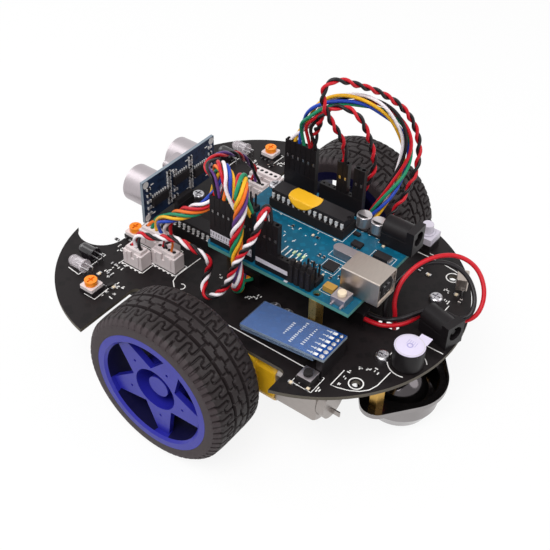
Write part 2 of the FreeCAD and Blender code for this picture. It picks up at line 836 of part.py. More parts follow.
def usb_socket():
    """A square metal shell open to the rear, with its plastic tongue."""
    x, y_edge = controller_place(-usb_overhang, usb_centre)
    y0, z0 = y_edge - usb_length, controller_top
    shell = block(x - usb_width / 2, x + usb_width / 2, y0, y_edge, z0, z0 + usb_height)
    shell = rounded(shell, 0.5, Y_AXIS)
    mouth_width, mouth_height, depth = 8.6, 7.9, 11.0
    z_mouth = z0 + (usb_height - mouth_height) / 2
    inner = usb_width / 2 - usb_wall
    well = block(x - inner, x + inner, y_edge - 0.8, y_edge, z0 + usb_wall, z0 + usb_height - usb_wall)
    mouth = prism(
        [
            (x - mouth_width / 2, z_mouth), (x + mouth_width / 2, z_mouth),
            (x + mouth_width / 2, z_mouth + mouth_height - 1.8),
            (x + mouth_width / 2 - 1.8, z_mouth + mouth_height),
            (x - mouth_width / 2 + 1.8, z_mouth + mouth_height),
            (x - mouth_width / 2, z_mouth + mouth_height - 1.8),
        ],
        y_edge, depth, Y_AXIS * -1,
    )
    tongue = block(x - 2.8, x + 2.8, y_edge - depth, y_edge - 2.5, z_mouth + 2.3, z_mouth + 5.5)
    return shell.cut([well, mouth]).fuse(tongue)


def barrel_jack(width, length, height):
    """A power jack on z = 0 that opens towards +Y at y = 0, with its centre pin."""
    half = width / 2
    face = 3.2
    back = block(-half, half, -length, 0, 0, height * 0.5)
    front = block(-half, half, -face, 0, 0, height)
    barrel_top = cylinder(half, length, Vec(0, 0, height - half), Y_AXIS * -1)
    body = fused([back, front, barrel_top])
    bore_level = height - half
    bore = cylinder(jack_bore_radius, jack_bore_depth, Vec(0, 0, bore_level), Y_AXIS * -1)
    pin = cylinder(jack_pin_radius, jack_bore_depth - 1.0, Vec(0, -jack_bore_depth, bore_level), Y_AXIS)
    return body.cut(bore).fuse(pin)


def controller_jack():
    x, y = controller_place(-controller_jack_overhang, controller_jack_centre)
    jack = barrel_jack(controller_jack_width, controller_jack_length, controller_jack_height)
    return moved(jack, x, y, controller_top)


def chip_size():
    return chip_pin_count / 2 * header_pitch


def chip_socket():
    x, y = controller_place(*chip_centre)
    length = chip_size()
    body = centred_block(x, y, controller_top, socket_width, length, socket_height)
    slot = centred_block(x, y, controller_top, socket_width - 5.0, length - 5.0, socket_height)
    legs = []
    for side in (1, -1):
        for i in range(chip_pin_count // 2):
            leg_y = y + (i - (chip_pin_count / 2 - 1) / 2) * header_pitch
            legs.append(centred_block(x + side * chip_row_spacing / 2, leg_y,
                                      controller_top + socket_height - 2.6, 0.7, 0.7, 2.6))
    return body.cut([slot] + legs)


def microcontroller():
    """The 28-pin chip, notched at one end, with its legs in the socket."""
    x, y = controller_place(*chip_centre)
    base = controller_top + socket_height + 0.6
    length = chip_size() - 0.7
    body = centred_block(x, y, base, chip_body_width, length, chip_body_height)
    notch = cylinder(1.1, 1.0, Vec(x, y + length / 2, base + chip_body_height - 1.0))
    legs = []
    for side in (1, -1):
        row = x + side * chip_row_spacing / 2
        inner = x + side * (chip_body_width / 2 - 0.5)
        for i in range(chip_pin_count // 2):
            leg_y = y + (i - (chip_pin_count / 2 - 1) / 2) * header_pitch
            low, high = sorted((inner, row + side * 0.15))
            legs.append(block(low, high, leg_y - 0.7, leg_y + 0.7, base + 1.4, base + 1.7))
            legs.append(centred_block(row, leg_y, base - 3.0, 0.3, chip_lead, 4.7))
    return fused([body.cut(notch)] + legs)


def can_capacitor(x, y, z):
    foot = rounded(centred_block(x, y, z, 6.6, 6.6, 0.9), 0.8, Z_AXIS)
    can = cylinder(3.15, 4.9, Vec(x, y, z + 0.9))
    return foot.fuse(can.makeFillet(0.4, [e for e in can.Edges if e.CenterOfMass.z > z + 5]))


def pin_header(x, y, z, columns, rows):
    """Bare square pins in a low block, such as a programming header."""
    parts = [centred_block(x, y, z, columns * header_pitch, rows * header_pitch, 2.5)]
    for i in range(columns):
        for j in range(rows):
            px = x + (i - (columns - 1) / 2) * header_pitch
            py = y + (j - (rows - 1) / 2) * header_pitch
            parts.append(centred_block(px, py, z, pin_side, pin_side, 2.5 + pin_length))
    return fused(parts)


def controller_parts():
    """Soldered parts of the controller board, one solid each."""
    parts = [can_capacitor(*controller_place(*at), controller_top) for at in capacitor_places]
    crystal = controller_box(crystal_place, crystal_size)
    parts.append(rounded(crystal, crystal_size[0] / 2 - 0.1, Z_AXIS))
    tab_place = (regulator_place[0] - regulator_size[1] / 2, regulator_place[1])
    tab = controller_box(tab_place, regulator_tab_size)
    parts.append(fused([controller_box(regulator_place, regulator_size), tab]))
    for place, size in controller_chips:
        parts.append(controller_box(place, size))
    for place, (columns, rows) in zip(pin_header_places, pin_header_counts):
        parts.append(pin_header(*controller_place(*place), controller_top, columns, rows))
    return group(parts)


def controller_box(place, size):
    return centred_block(*controller_place(*place), controller_top, *size)


# ---------------------------------------------------------------- push buttons
def tact_body(x, y, z):
    """A four-legged push switch body with the round hole of its button."""
    body = centred_block(x, y, z, tact_side, tact_side, tact_height)
    depth = tact_travel + 1.4
    well = cylinder(tact_button_radius + slip_fit, depth, Vec(x, y, z + tact_height - depth))
    legs = [
        centred_block(x + sx * (tact_side / 2 + 0.6), y + sy * tact_side / 3, z, 1.2, 0.7, 0.8)
        for sx in (1, -1)
        for sy in (1, -1)
    ]
    return fused([body.cut(well)] + legs)


def tact_button(x, y, z):
    """The round plunger; its lower part stays in the body over the whole travel."""
    sunk = 1.3
    button = cylinder(tact_button_radius, sunk + tact_button_height, Vec(x, y, z + tact_height - sunk))
    top = [e for e in button.Edges if abs(e.CenterOfMass.z - z - tact_height - tact_button_height) < 0.01]
    return button.makeFillet(0.3, top)


def reset_switch():
    return tact_body(*controller_place(*reset_switch_place), controller_top)


def reset_button():
    return tact_button(*controller_place(*reset_switch_place), controller_top)


def user_switch():
    return moved(tact_body(0, 0, 0), *user_switch_place, chassis_top, 90)


def user_button():
    return tact_button(*user_switch_place, chassis_top)


def power_switch():
    """A latching switch: a dark base under a pale shell with the plunger's guide."""
    x, y = power_switch_place
    z = chassis_top
    split = power_switch_height - power_switch_shell
    base = centred_block(x, y, z, power_switch_side, power_switch_side, split)
    shell = centred_block(x, y, z + split, power_switch_side, power_switch_side, power_switch_shell)
    guide = cylinder(plunger_radius + 0.9, 0.8, Vec(x, y, z + power_switch_height))
    depth = power_switch_travel + 1.6
    hole = cylinder(plunger_radius + slip_fit, depth + 0.8, Vec(x, y, z + power_switch_height - depth))
    return group([base.cut(hole), shell.fuse(guide).cut(hole)])


def power_plunger():
    x, y = power_switch_place
    sunk = 1.5
    bottom = chassis_top + power_switch_height - sunk
    button = cylinder(plunger_radius, sunk + plunger_height, Vec(x, y, bottom))
    top = [e for e in button.Edges if abs(e.CenterOfMass.z - bottom - sunk - plunger_height) < 0.01]
    return button.makeFillet(0.5, top)


# ---------------------------------------------------------------- trimmers and lamps
def trimmer_bases():
    bases = []
    for x, y in trimmer_places.values():
        body = centred_block(x, y, chassis_top, trimmer_side, trimmer_side, trimmer_height)
        floor = chassis_top + trimmer_height - 1.6
        well = cylinder(trimmer_rotor_radius * 0.6 + shaft_fit, 1.6, Vec(x, y, floor))
        bases.append(rounded(body, 0.6, Z_AXIS).cut(well))
    return group(bases)


def trimmer_rotor(side):
    """The slotted dial of one trimmer, with the stub that turns in its base."""
    x, y = trimmer_places[side]
    level = chassis_top + trimmer_height
    dial = cylinder(trimmer_rotor_radius, trimmer_rotor_height, Vec(x, y, level + 0.1))
    stub = cylinder(trimmer_rotor_radius * 0.6, 1.5, Vec(x, y, level - 1.4))
    slot = centred_block(x, y, level + trimmer_rotor_height - 0.9, trimmer_rotor_radius * 1.5, 0.7, 1.0)
    cross = centred_block(x, y, level + trimmer_rotor_height - 0.9, 0.7, trimmer_rotor_radius * 0.9, 1.0)
    return dial.fuse(stub).cut([slot, cross])


def flat_lamp(x, y, squared):
    """A 5 mm lamp or receiver lying on the board and looking forwards, with bent legs."""
    z = chassis_top + lamp_radius + 0.4
    back = Vec(x, y + lamp_length / 2, z)
    barrel = cylinder(lamp_radius, lamp_length - lamp_radius, back, Y_AXIS * -1)
    parts = [barrel, cylinder(lamp_radius + 0.4, 1.0, back, Y_AXIS * -1)]
    if squared:
        width, depth = 2 * lamp_radius, lamp_length * 0.6
        parts.append(centred_block(x, y + 1.2, chassis_top + 0.4, width, depth, lamp_radius))
    dome = Part.makeSphere(lamp_radius, Vec(x, y - lamp_length / 2 + lamp_radius, z))
    parts.append(dome)
    for side in (1, -1):
        leg_x = x + side * header_pitch / 2
        parts.append(centred_block(leg_x, back.y + 1.2, z - 0.25, 0.5, 2.9, 0.5))
        parts.append(centred_block(leg_x, back.y + 2.4, chassis_top, 0.5, 0.5, lamp_radius + 0.65))
    return fused(parts)


def emitters():
    return group([flat_lamp(x, y, False) for x, y in emitter_places])


def receivers():
    return group([flat_lamp(x, y, True) for x, y in receiver_places])


def remote_receiver():
    """A three-legged receiver for a remote control, in its square can."""
    can = centred_block(0, 0, 3.0, 6.4, 4.6, 5.4)
    legs = [centred_block(i * header_pitch, 0.8, 0, 0.5, 0.5, 3.0) for i in (-1, 0, 1)]
    return moved(fused([rounded(can, 0.6, Z_AXIS)] + legs), *remote_place, chassis_top, remote_turn)


def buzzer():
    """A round buzzer and the tabbed label that seals its top."""
    x, y = buzzer_place
    can = cylinder(buzzer_radius, buzzer_height, Vec(x, y, chassis_top))
    bottom_step = cylinder(buzzer_radius - 0.6, 0.8, Vec(x, y, chassis_top))
    can = can.cut(cylinder(buzzer_radius, 0.8, Vec(x, y, chassis_top))).fuse(bottom_step)
    top = chassis_top + buzzer_height
    disc = cylinder(buzzer_radius - 0.2, buzzer_label_thickness, Vec(x, y, top))
    tab = block(x - buzzer_radius - buzzer_label_tab + 1.2, x - buzzer_radius + 2.4, y + 0.4, y + 5.0,
                top, top + buzzer_label_thickness)
    return group([can, fused([disc, tab])])


def charging_jack():
    jack = barrel_jack(controller_jack_width, controller_jack_length, controller_jack_height)
    jack.translate(Vec(0, controller_jack_length / 2, 0))
    return moved(jack, *charging_jack_place, chassis_top, charging_jack_turn)


# ---------------------------------------------------------------- radio module
def radio_level():
    return chassis_top + header_height + radio_rise


def radio_tilt(shape):
    """Pitch a shape made level about the pin end of the radio module."""
    copy = shape.copy()
    copy.rotate(Vec(*radio_pin_end, radio_level()), X_AXIS, radio_pitch)
    return copy


def radio_pin_row():
    """World x of each pin, and the y of the row."""
    x, y = radio_pin_end
    first = x - (radio_pin_count - 1) * header_pitch / 2
    return [first + i * header_pitch for i in range(radio_pin_count)], y - radio_pin_inset


def radio_module():
    """The module's board, its chip on the lower face and its upright pins at the rear end."""
    x, y = radio_pin_end
    z = radio_level()
    columns, row = radio_pin_row()
    board = centred_block(x, y - radio_length / 2, z, radio_width, radio_length, radio_thickness)
    chip = centred_block(x, y - radio_length * 0.62, z - radio_chip_height, 11.0, 13.0, radio_chip_height)
    reach = pin_length + radio_rise
    pins = [
        centred_block(px, row, z - reach, pin_side, pin_side, reach + radio_thickness + 0.6)
        for px in columns
    ]
    return fused([radio_tilt(board.fuse(chip))] + pins)


def radio_sleeve():
    """A clear sleeve shrunk round the module, clear of its pins."""
    x, y = radio_pin_end
    middle_y = y - radio_sleeve_inset - radio_sleeve_length / 2
    inner_width = radio_width + 2 * slip_fit
    inner_height = radio_thickness + radio_chip_height + 2 * slip_fit
    bottom = radio_level() - radio_chip_height - slip_fit
    wall = radio_sleeve_wall
    tube = centred_block(
        x, middle_y, bottom - wall, inner_width + 2 * wall, radio_sleeve_length, inner_height + 2 * wall
    )
    hollow = centred_block(x, middle_y, bottom, inner_width, radio_sleeve_length, inner_height)
    return radio_tilt(rounded(tube, 0.8, Y_AXIS).cut(hollow))


def terminals():
    """Blocks on the chassis, under the controller board, that the cables end in."""
    return [
        centred_block(*power_terminal_place, chassis_top, *power_terminal_size),
        centred_block(*motor_terminal_place, chassis_top, *motor_terminal_size),
        centred_block(*harness_terminal_place, chassis_top, *harness_terminal_size),
    ]


def deck_sockets():
    """The female strips under the radio module and the distance sensor, and the terminals."""
    columns, row = radio_pin_row()
    radio = header_strip(columns[0], row, chassis_top, radio_pin_count, along_y=False)
    first = -(sonar_pin_count - 1) * header_pitch / 2
    sonar = header_strip(first, sonar_pin_y(), chassis_top, sonar_pin_count, along_y=False)
    return group([radio, sonar] + terminals())


# ---------------------------------------------------------------- distance sensor
def sonar_pin_y():
    return sonar_y + header_pitch / 2 + 0.4


def sonar_board():
    """The upright sensor board with its chips, crystal and bent pins."""
    z = chassis_top + header_height
    board = block(-sonar_width / 2, sonar_width / 2, sonar_y - sonar_thickness, sonar_y, z, z + sonar_height)
    holes = [
        cylinder(0.9, sonar_thickness, Vec(sx * (sonar_width / 2 - 1.8), sonar_y, z + h), Y_AXIS * -1)
        for sx in (1, -1)
        for h in (1.8, sonar_height - 1.8)
    ]
    parts = [board.cut(holes)]
    for x, level in ((13.5, 8.4), (0.0, 11.4), (-13.0, 8.4)):
        parts.append(block(x - 4.6, x + 4.6, sonar_y, sonar_y + 1.5, z + level - 2, z + level + 2))
    strip = block(-5.1, 5.1, sonar_y, sonar_y + 2.5, z, z + 2.5)
    parts.append(strip)
    for i in range(sonar_pin_count):
        x = (i - (sonar_pin_count - 1) / 2) * header_pitch
        parts.append(centred_block(x, sonar_pin_y(), z - pin_length, pin_side, pin_side, pin_length))
    crystal = rounded(block(-5.2, 5.2, sonar_y - sonar_thickness - 3.4, sonar_y - sonar_thickness,
                            z + sonar_height - 5.0, z + sonar_height - 0.6), 1.8, Y_AXIS)
    return fused(parts + [crystal])


def sonar_transducers():
    """Two cans, open at the front, each with its mesh."""
    z = chassis_top + header_height + sonar_height / 2
    cans = []
    for side in (1, -1):
        base = Vec(side * sonar_spacing / 2, sonar_y - sonar_thickness, z)
        can = cylinder(sonar_radius, sonar_depth, base, Y_AXIS * -1)
        front = [e for e in can.Edges if e.CenterOfMass.y < base.y - sonar_depth + 0.01]
        can = can.makeFillet(0.7, front)
        mouth = cylinder(sonar_radius - 1.6, 1.4, base - Vec(0, sonar_depth, 0), Y_AXIS)
        cans.append(can.cut(mouth))
    return group(cans)


# ---------------------------------------------------------------- wire sockets
def wire_socket(x, y, pins):
    """A shrouded pin socket, open above; its pins stand in a row along Y."""
    length = (pins - 1) * wire_pin_pitch + 4.9
    z = chassis_top
    outer = centred_block(x, y, z, wire_socket_width, length, wire_socket_height)
    inner = centred_block(x, y, z + wire_socket_floor, wire_socket_width - 2 * wire_socket_wall,
                          length - 2 * wire_socket_wall, wire_socket_height)
    notch = centred_block(x + wire_socket_width / 2, y, z + wire_socket_height - 3.0,
                          2 * wire_socket_wall + 0.2, 1.6, 3.0)
    plug = wire_plug(x, y, length)
    return [outer.cut([inner, notch]), plug]


def wire_plug(x, y, length):
    """The crimp housing pushed into a socket; it stands a little proud."""
    fit = wire_socket_wall + slip_fit
    bottom = chassis_top + wire_socket_floor + slip_fit
    height = chassis_top + wire_socket_height + wire_plug_rise - bottom
    return centred_block(x, y, bottom, wire_socket_width - 2 * fit, length - 2 * fit, height)


def wire_sockets(places, socket_counts):
    solids = []
    for (x, y), pins in zip(places, socket_counts):
        solids += wire_socket(x, y, pins)
    return group(solids)


# ---------------------------------------------------------------- caster
def caster_flange_outline(grow=0.0):
    """An oval of a central disc and two lobes joined by their common tangents."""
    big, small = caster_disc_radius + grow, caster_lobe_radius + grow
    reach = caster_screw_spacing / 2
    lean = math.acos((big - small) / reach)
    c, s = math.cos(lean), math.sin(lean)

    def at(x, y):
        return Vec(x, caster_y + y, 0)

    right = at(reach + small * c, small * s), at(reach + small, 0), at(reach + small * c, -small * s)
    left = at(-reach - small * c, -small * s), at(-reach - small, 0), at(-reach - small * c, small * s)
    return Part.Wire([
        Part.LineSegment(at(big * c, big * s), right[0]).toShape(),
        Part.Arc(*right).toShape(),
        Part.LineSegment(right[2], at(big * c, -big * s)).toShape(),
        Part.Arc(at(big * c, -big * s), at(0, -big), at(-big * c, -big * s)).toShape(),
        Part.LineSegment(at(-big * c, -big * s), left[0]).toShape(),
        Part.Arc(*left).toShape(),
        Part.LineSegment(left[2], at(-big * c, big * s)).toShape(),
        Part.Arc(at(-big * c, big * s), at(0, big), at(big * c, big * s)).toShape(),
    ])


def caster_housing():
    """Pressed flange with a raised edge, and the bowl that hangs below it."""
    thickness, wall = caster_flange_thickness, caster_bowl_wall
    under = caster_flange_top - thickness
    flange = Part.Face(caster_flange_outline()).extrude(Vec(0, 0, thickness))
    edge = Part.Face(caster_flange_outline()).extrude(Vec(0, 0, thickness + caster_lip_height))
    inside = Part.Face(caster_flange_outline(-caster_lip_width)).extrude(
        Vec(0, 0, thickness + caster_lip_height)
    )
    plate = flange.fuse(edge.cut(inside))
    plate.translate(Vec(0, 0, under))
    centre = Vec(0, caster_y, 0)
    radius, floor = caster_bowl_radius, caster_bowl_floor
    mouth = ball_radius_at(floor + wall) + running_gap
    knee = floor + caster_bowl_knee
    foot = radius - caster_bowl_taper
    profile = [
        (under, radius), (knee, radius), (floor, foot), (floor, mouth), (floor + wall, mouth),
        (floor + wall, foot - wall), (knee, radius - wall), (caster_flange_top, radius - wall),
        (caster_flange_top, radius),
    ]
    bowl = turned(profile, centre, Z_AXIS, X_AXIS)
    opening = cylinder(radius - wall, thickness, Vec(0, caster_y, under))
    holes = [cylinder(fixing_hole_radius, thickness, Vec(x, y, under)) for x, y in caster_fixings()]
    return fused([plate.cut(opening), bowl]).cut(holes)


def ball_radius_at(level):
    return math.sqrt(caster_ball_radius**2 - (caster_ball_radius - level) ** 2)


def caster_socket():
    """The domed cup that the ball turns in, with a skirt that rests in the bowl."""
    gap = running_gap
    centre = Vec(0, caster_y, caster_ball_radius)
    outer_radius = caster_ball_radius + gap + caster_socket_wall
    dome = Part.makeSphere(outer_radius, centre)
    hollow = Part.makeSphere(caster_ball_radius + gap, centre)
    low = caster_ball_radius - 1.0
    keep = cylinder(outer_radius + 1, outer_radius + 2, Vec(0, caster_y, low))
    cup = dome.cut(hollow).common(keep)
    skirt_radius = caster_bowl_radius - caster_bowl_wall - slip_fit
    skirt_level = caster_ball_radius + 2.0
    skirt = cylinder(skirt_radius, caster_socket_skirt, Vec(0, caster_y, skirt_level))
    skirt = skirt.cut(Part.makeSphere(outer_radius - 0.4, centre))
    return fused([cup, skirt])


def caster_ball():
    return Part.makeSphere(caster_ball_radius, Vec(0, caster_y, caster_ball_radius))


# ---------------------------------------------------------------- underside
def holder_bottom():
    return chassis_bottom - holder_feet - holder_wall - 2 * cell_radius


def battery_holder():
    """A tray under the board that opens downwards and holds two cells side by side."""
    half = holder_half_width()
    top = chassis_bottom - holder_feet
    y0, y1 = holder_y - holder_length / 2, holder_y + holder_length / 2
    body = block(-half, half, y0, y1, top - holder_depth, top)
    bays = []
    for side in (1, -1):
        x = side * (cell_radius + holder_wall / 4)
        bays.append(block(x - cell_radius, x + cell_radius, y0 + holder_wall, y1 - holder_wall,
                          top - holder_depth, top - holder_wall))
    feet = [
        cylinder(screw_head_radius, holder_feet, Vec(x, y, top)) for x, y in holder_fixings()
    ]
    divider_holes = [
        cylinder(screw_radius + slip_fit, holder_feet, Vec(x, y, top)) for x, y in holder_fixings()
    ]
    clips = []
    for side in (1, -1):
        x = side * (cell_radius + holder_wall / 4)
        for end in (1, -1):
            at_y = holder_y + end * (cell_length / 2 + slip_fit)
            near, far = sorted((at_y, holder_y + end * (holder_length / 2 - holder_wall)))
            clips.append(block(x - 3, x + 3, near, far, top - 13.0, top - 5.0))
    return group([fused([body.cut(bays)] + feet).cut(divider_holes)] + clips)


def battery_cells():
    cells = []
    for side in (1, -1):
        x = side * (cell_radius + holder_wall / 4)
        z = chassis_bottom - holder_feet - holder_wall - cell_radius
        start = Vec(x, holder_y - cell_length / 2, z)
        cell = cylinder(cell_radius - slip_fit, cell_length - 1.2, start, Y_AXIS)
        button = cylinder(3.2, 1.2, start + Vec(0, cell_length - 1.2, 0), Y_AXIS)
        cells.append(cell.fuse(button))
    return group(cells)


def sensor_bar():
    """The line sensor board on its pillars, with reflective sensors that look down."""
    top = chassis_bottom - sensor_bar_pillar
    bottom = top - board_thickness
    half = sensor_bar_length / 2
    board = block(-half, half, sensor_bar_y - sensor_bar_width / 2, sensor_bar_y + sensor_bar_width / 2,
                  bottom, top)
    board = rounded(board, 2.0, Z_AXIS)
    board = board.cut([cylinder(fixing_hole_radius, board_thickness, Vec(x, y, bottom))
                       for x, y in sensor_bar_fixings()])
    length, width, height = line_sensor_size
    sensors = []
    for i in range(line_sensor_count):
        x = (i - (line_sensor_count - 1) / 2) * line_sensor_spacing
        y = sensor_bar_y - sensor_bar_width / 2 + length / 2 + 0.6
        body = centred_block(x, y, bottom - height, width, length, height)
        eyes = [cylinder(1.6, 0.8, Vec(x, y + side * length / 4, bottom - height)) for side in (1, -1)]
        sensors.append(body.cut(eyes))
    header = centred_block(0, sensor_bar_y + 5.5, top, 6 * header_pitch, header_width, 4.0)
    return group([board] + sensors + [header])


# ---------------------------------------------------------------- cables
# Each route is a list of corners; the cable runs straight between them and rounds each one.
battery_lead_diameter = 1.8
motor_lead_diameter = 2.6
header_harness_diameter = 4.4
line_harness_diameter = 4.4
front_harness_diameter = 4.2
right_lead_diameter = 2.8
sensor_lead_diameter = 2.8
branch_lead_diameter = 2.0

battery_lead_routes = [
    [(2.0, 56.5, 40.0), (2.0, 56.5, 48.5), (1.0, 54.0, 56.5), (-5.0, 53.5, 63.0), (-14.0, 57.0, 68.0),
     (-22.0, 65.0, 70.0), (-25.0, 74.0, 66.5), (-21.0, 81.0, 60.0), (-14.5, 82.5, 53.0),
     (-11.0, 77.0, 48.6), (-11.5, 69.5, 48.0), (-7.5, 63.0, 48.2), (0.5, 61.5, 48.5),
     (7.0, 58.0, 49.5), (9.6, 52.5, 49.0), (9.6, 47.26, 49.0)],
    [(3.8, 53.0, 40.0), (3.8, 53.0, 48.0), (3.0, 51.5, 54.0), (-3.0, 51.0, 60.0), (-12.0, 54.5, 65.0),
     (-19.5, 63.0, 67.0), (-22.0, 72.0, 63.5), (-18.5, 78.5, 57.5), (-12.5, 80.5, 53.5),
     (-10.0, 76.5, 51.0), (-11.0, 70.5, 50.6), (-8.0, 64.5, 50.8), (-1.0, 61.5, 51.2),
     (5.5, 58.5, 52.0), (7.4, 52.5, 50.2), (7.4, 47.26, 50.2)],
]
motor_lead_routes = [
    [(-24.13, 12.67, 88.05), (-24.13, 12.67, 93.5), (-20.5, 12.3, 101.0), (-16.6, 9.0, 109.5),
     (-14.0, 6.5, 118.0), (-14.5, 7.3, 125.0), (-19.0, 10.3, 126.0), (-25.5, 13.8, 122.0),
     (-34.5, 19.0, 117.0), (-44.0, 26.5, 107.5), (-48.0, 31.5, 95.0), (-46.0, 33.8, 83.5),
     (-39.5, 33.5, 73.5), (-33.5, 31.0, 65.0), (-29.0, 28.0, 57.0), (-24.0, 25.5, 50.5),
     (-16.05, 25.5, 50.5)],
    [(-24.13, -2.6, 88.05), (-24.13, -2.6, 94.0), (-20.0, 2.5, 103.0), (-17.3, 4.3, 109.0),
     (-18.7, 7.9, 113.4), (-21.4, 13.2, 114.2), (-22.5, 18.5, 111.5), (-24.5, 21.0, 105.0),
     (-27.0, 22.3, 97.5), (-28.5, 24.0, 89.0), (-28.2, 22.0, 80.5), (-28.6, 18.7, 72.5),
     (-29.5, 15.5, 64.0), (-27.5, 13.5, 56.0), (-22.5, 11.5, 51.0), (-16.05, 11.5, 51.0)],
]
header_harness_route = [
    (-24.13, -8.0, 88.05), (-24.0, -7.8, 94.0), (-19.5, -2.2, 103.5), (-20.5, 2.5, 111.0),
    (-25.0, 9.5, 115.0), (-33.0, 17.0, 112.5), (-41.0, 23.5, 104.5), (-44.5, 28.5, 94.0),
    (-42.5, 29.5, 84.0), (-36.5, 28.0, 74.5), (-31.5, 25.0, 65.5), (-28.5, 21.0, 56.5),
    (-23.5, 18.5, 50.0), (-16.05, 18.5, 50.0),
]
line_harness_route = [
    (22.9, -44.8, 54.25), (22.9, -44.8, 58.2), (24.0, -40.6, 62.8), (24.0, -35.5, 67.0),
    (24.0, -29.8, 71.6), (24.0, -23.9, 75.8), (22.6, -18.6, 79.8), (19.9, -16.6, 84.5),
    (19.2, -15.9, 91.0), (19.0, -15.5, 97.5), (21.6, -11.0, 100.5), (24.13, -6.4, 97.5),
    (24.13, -6.4, 88.05),
]
right_lead_route = [
    (-29.3, -34.8, 54.25), (-29.3, -34.8, 60.0), (-25.0, -34.7, 66.5), (-18.0, -32.7, 74.0),
    (-8.0, -28.7, 83.0), (4.0, -25.0, 91.0), (14.0, -22.5, 95.5), (21.8, -20.2, 96.5),
    (24.13, -12.6, 95.5), (24.13, -12.6, 88.05),
]
front_harness_route = [
    (24.13, -0.6, 88.05), (24.13, -0.6, 94.5), (24.3, -0.4, 101.3), (27.6, 2.0, 104.0),
    (31.0, 4.5, 101.3), (31.0, 3.9, 93.0), (31.0, 2.5, 83.8), (31.0, 1.7, 74.8), (31.2, 2.3, 67.6),
    (31.5, 3.5, 61.2), (30.5, 2.6, 54.5), (25.5, -3.0, 49.3), (18.05, -3.0, 49.3),
]
sensor_lead_routes = [
    [(36.1, -45.2, 54.25), (36.1, -45.2, 58.4), (34.6, -44.0, 61.0), (33.8, -40.0, 60.6),
     (33.0, -36.0, 61.8), (32.3, -31.0, 64.0), (31.8, -25.0, 65.0), (31.3, -18.5, 63.8),
     (30.4, -12.0, 61.8), (29.4, -12.3, 57.0), (30.8, -13.5, 52.0), (34.0, -12.2, 49.0),
     (36.5, -8.5, 48.1), (36.0, -4.0, 51.0), (35.0, -0.5, 56.0), (34.6, 2.0, 62.5),
     (34.3, 3.8, 69.5), (33.8, 7.2, 77.0), (33.0, 11.0, 84.5), (32.0, 13.0, 91.0),
     (29.6, 12.7, 95.4), (26.2, 12.0, 95.9), (24.13, 11.65, 92.5), (24.13, 11.65, 88.05)],
    [(29.3, -34.8, 54.25), (29.3, -34.8, 57.4), (30.2, -33.0, 60.2), (30.4, -30.0, 62.0),
     (29.7, -25.0, 63.2), (29.1, -19.5, 62.2)],
]


def cord(route, diameter):
    """A round cable: straight runs along the route, joined by tangent arcs."""
    points = [Vec(*point) for point in route]
    start, edges, radii = points[0], [], []
    for before, corner, after in zip(points, points[1:], points[2:]):
        back, ahead = before - corner, after - corner
        half_turn = (math.pi - back.getAngle(ahead)) / 2
        reach = 0.45 * min(back.Length, ahead.Length)
        radius = reach / math.tan(half_turn)
        back.normalize()
        ahead.normalize()
        inward = (back + ahead).normalize()
        middle = corner + inward * (radius / math.cos(half_turn) - radius)
        enter, leave = corner + back * reach, corner + ahead * reach
        edges.append(Part.makeLine(start, enter))
        edges.append(Part.Arc(enter, middle, leave).toShape())
        start = leave
        radii.append(radius)
    edges.append(Part.makeLine(start, points[-1]))
    path = Part.Wire(edges)
    section = Part.Wire(Part.makeCircle(diameter / 2, points[0], points[1] - points[0]))
    tube = path.makePipeShell([section], True, False)
    expected = path.Length * math.pi * diameter**2 / 4
    print(f"cord {path.Length:.1f} mm, diameter {diameter}, radii {[round(r, 1) for r in radii]}, "
          f"volume over section times length {tube.Volume / expected:.4f}")
    return tube


def cables():
    leads, branch = sensor_lead_routes
    return {
        "battery_leads": group([cord(route, battery_lead_diameter) for route in battery_lead_routes]),
        "motor_leads": group([cord(route, motor_lead_diameter) for route in motor_lead_routes]),
        "header_harness": cord(header_harness_route, header_harness_diameter),
        "line_harness": cord(line_harness_route, line_harness_diameter),
        "front_harness": cord(front_harness_route, front_harness_diameter),
        "right_lead": cord(right_lead_route, right_lead_diameter),
        "sensor_leads": group([cord(leads, sensor_lead_diameter), cord(branch, branch_lead_diameter)]),
    }


# ---------------------------------------------------------------- the robot
def sided(name, left):
    """The left piece and its mirror image on the right."""
    return {f"{name}_left": left, f"{name}_right": mirrored(left)}


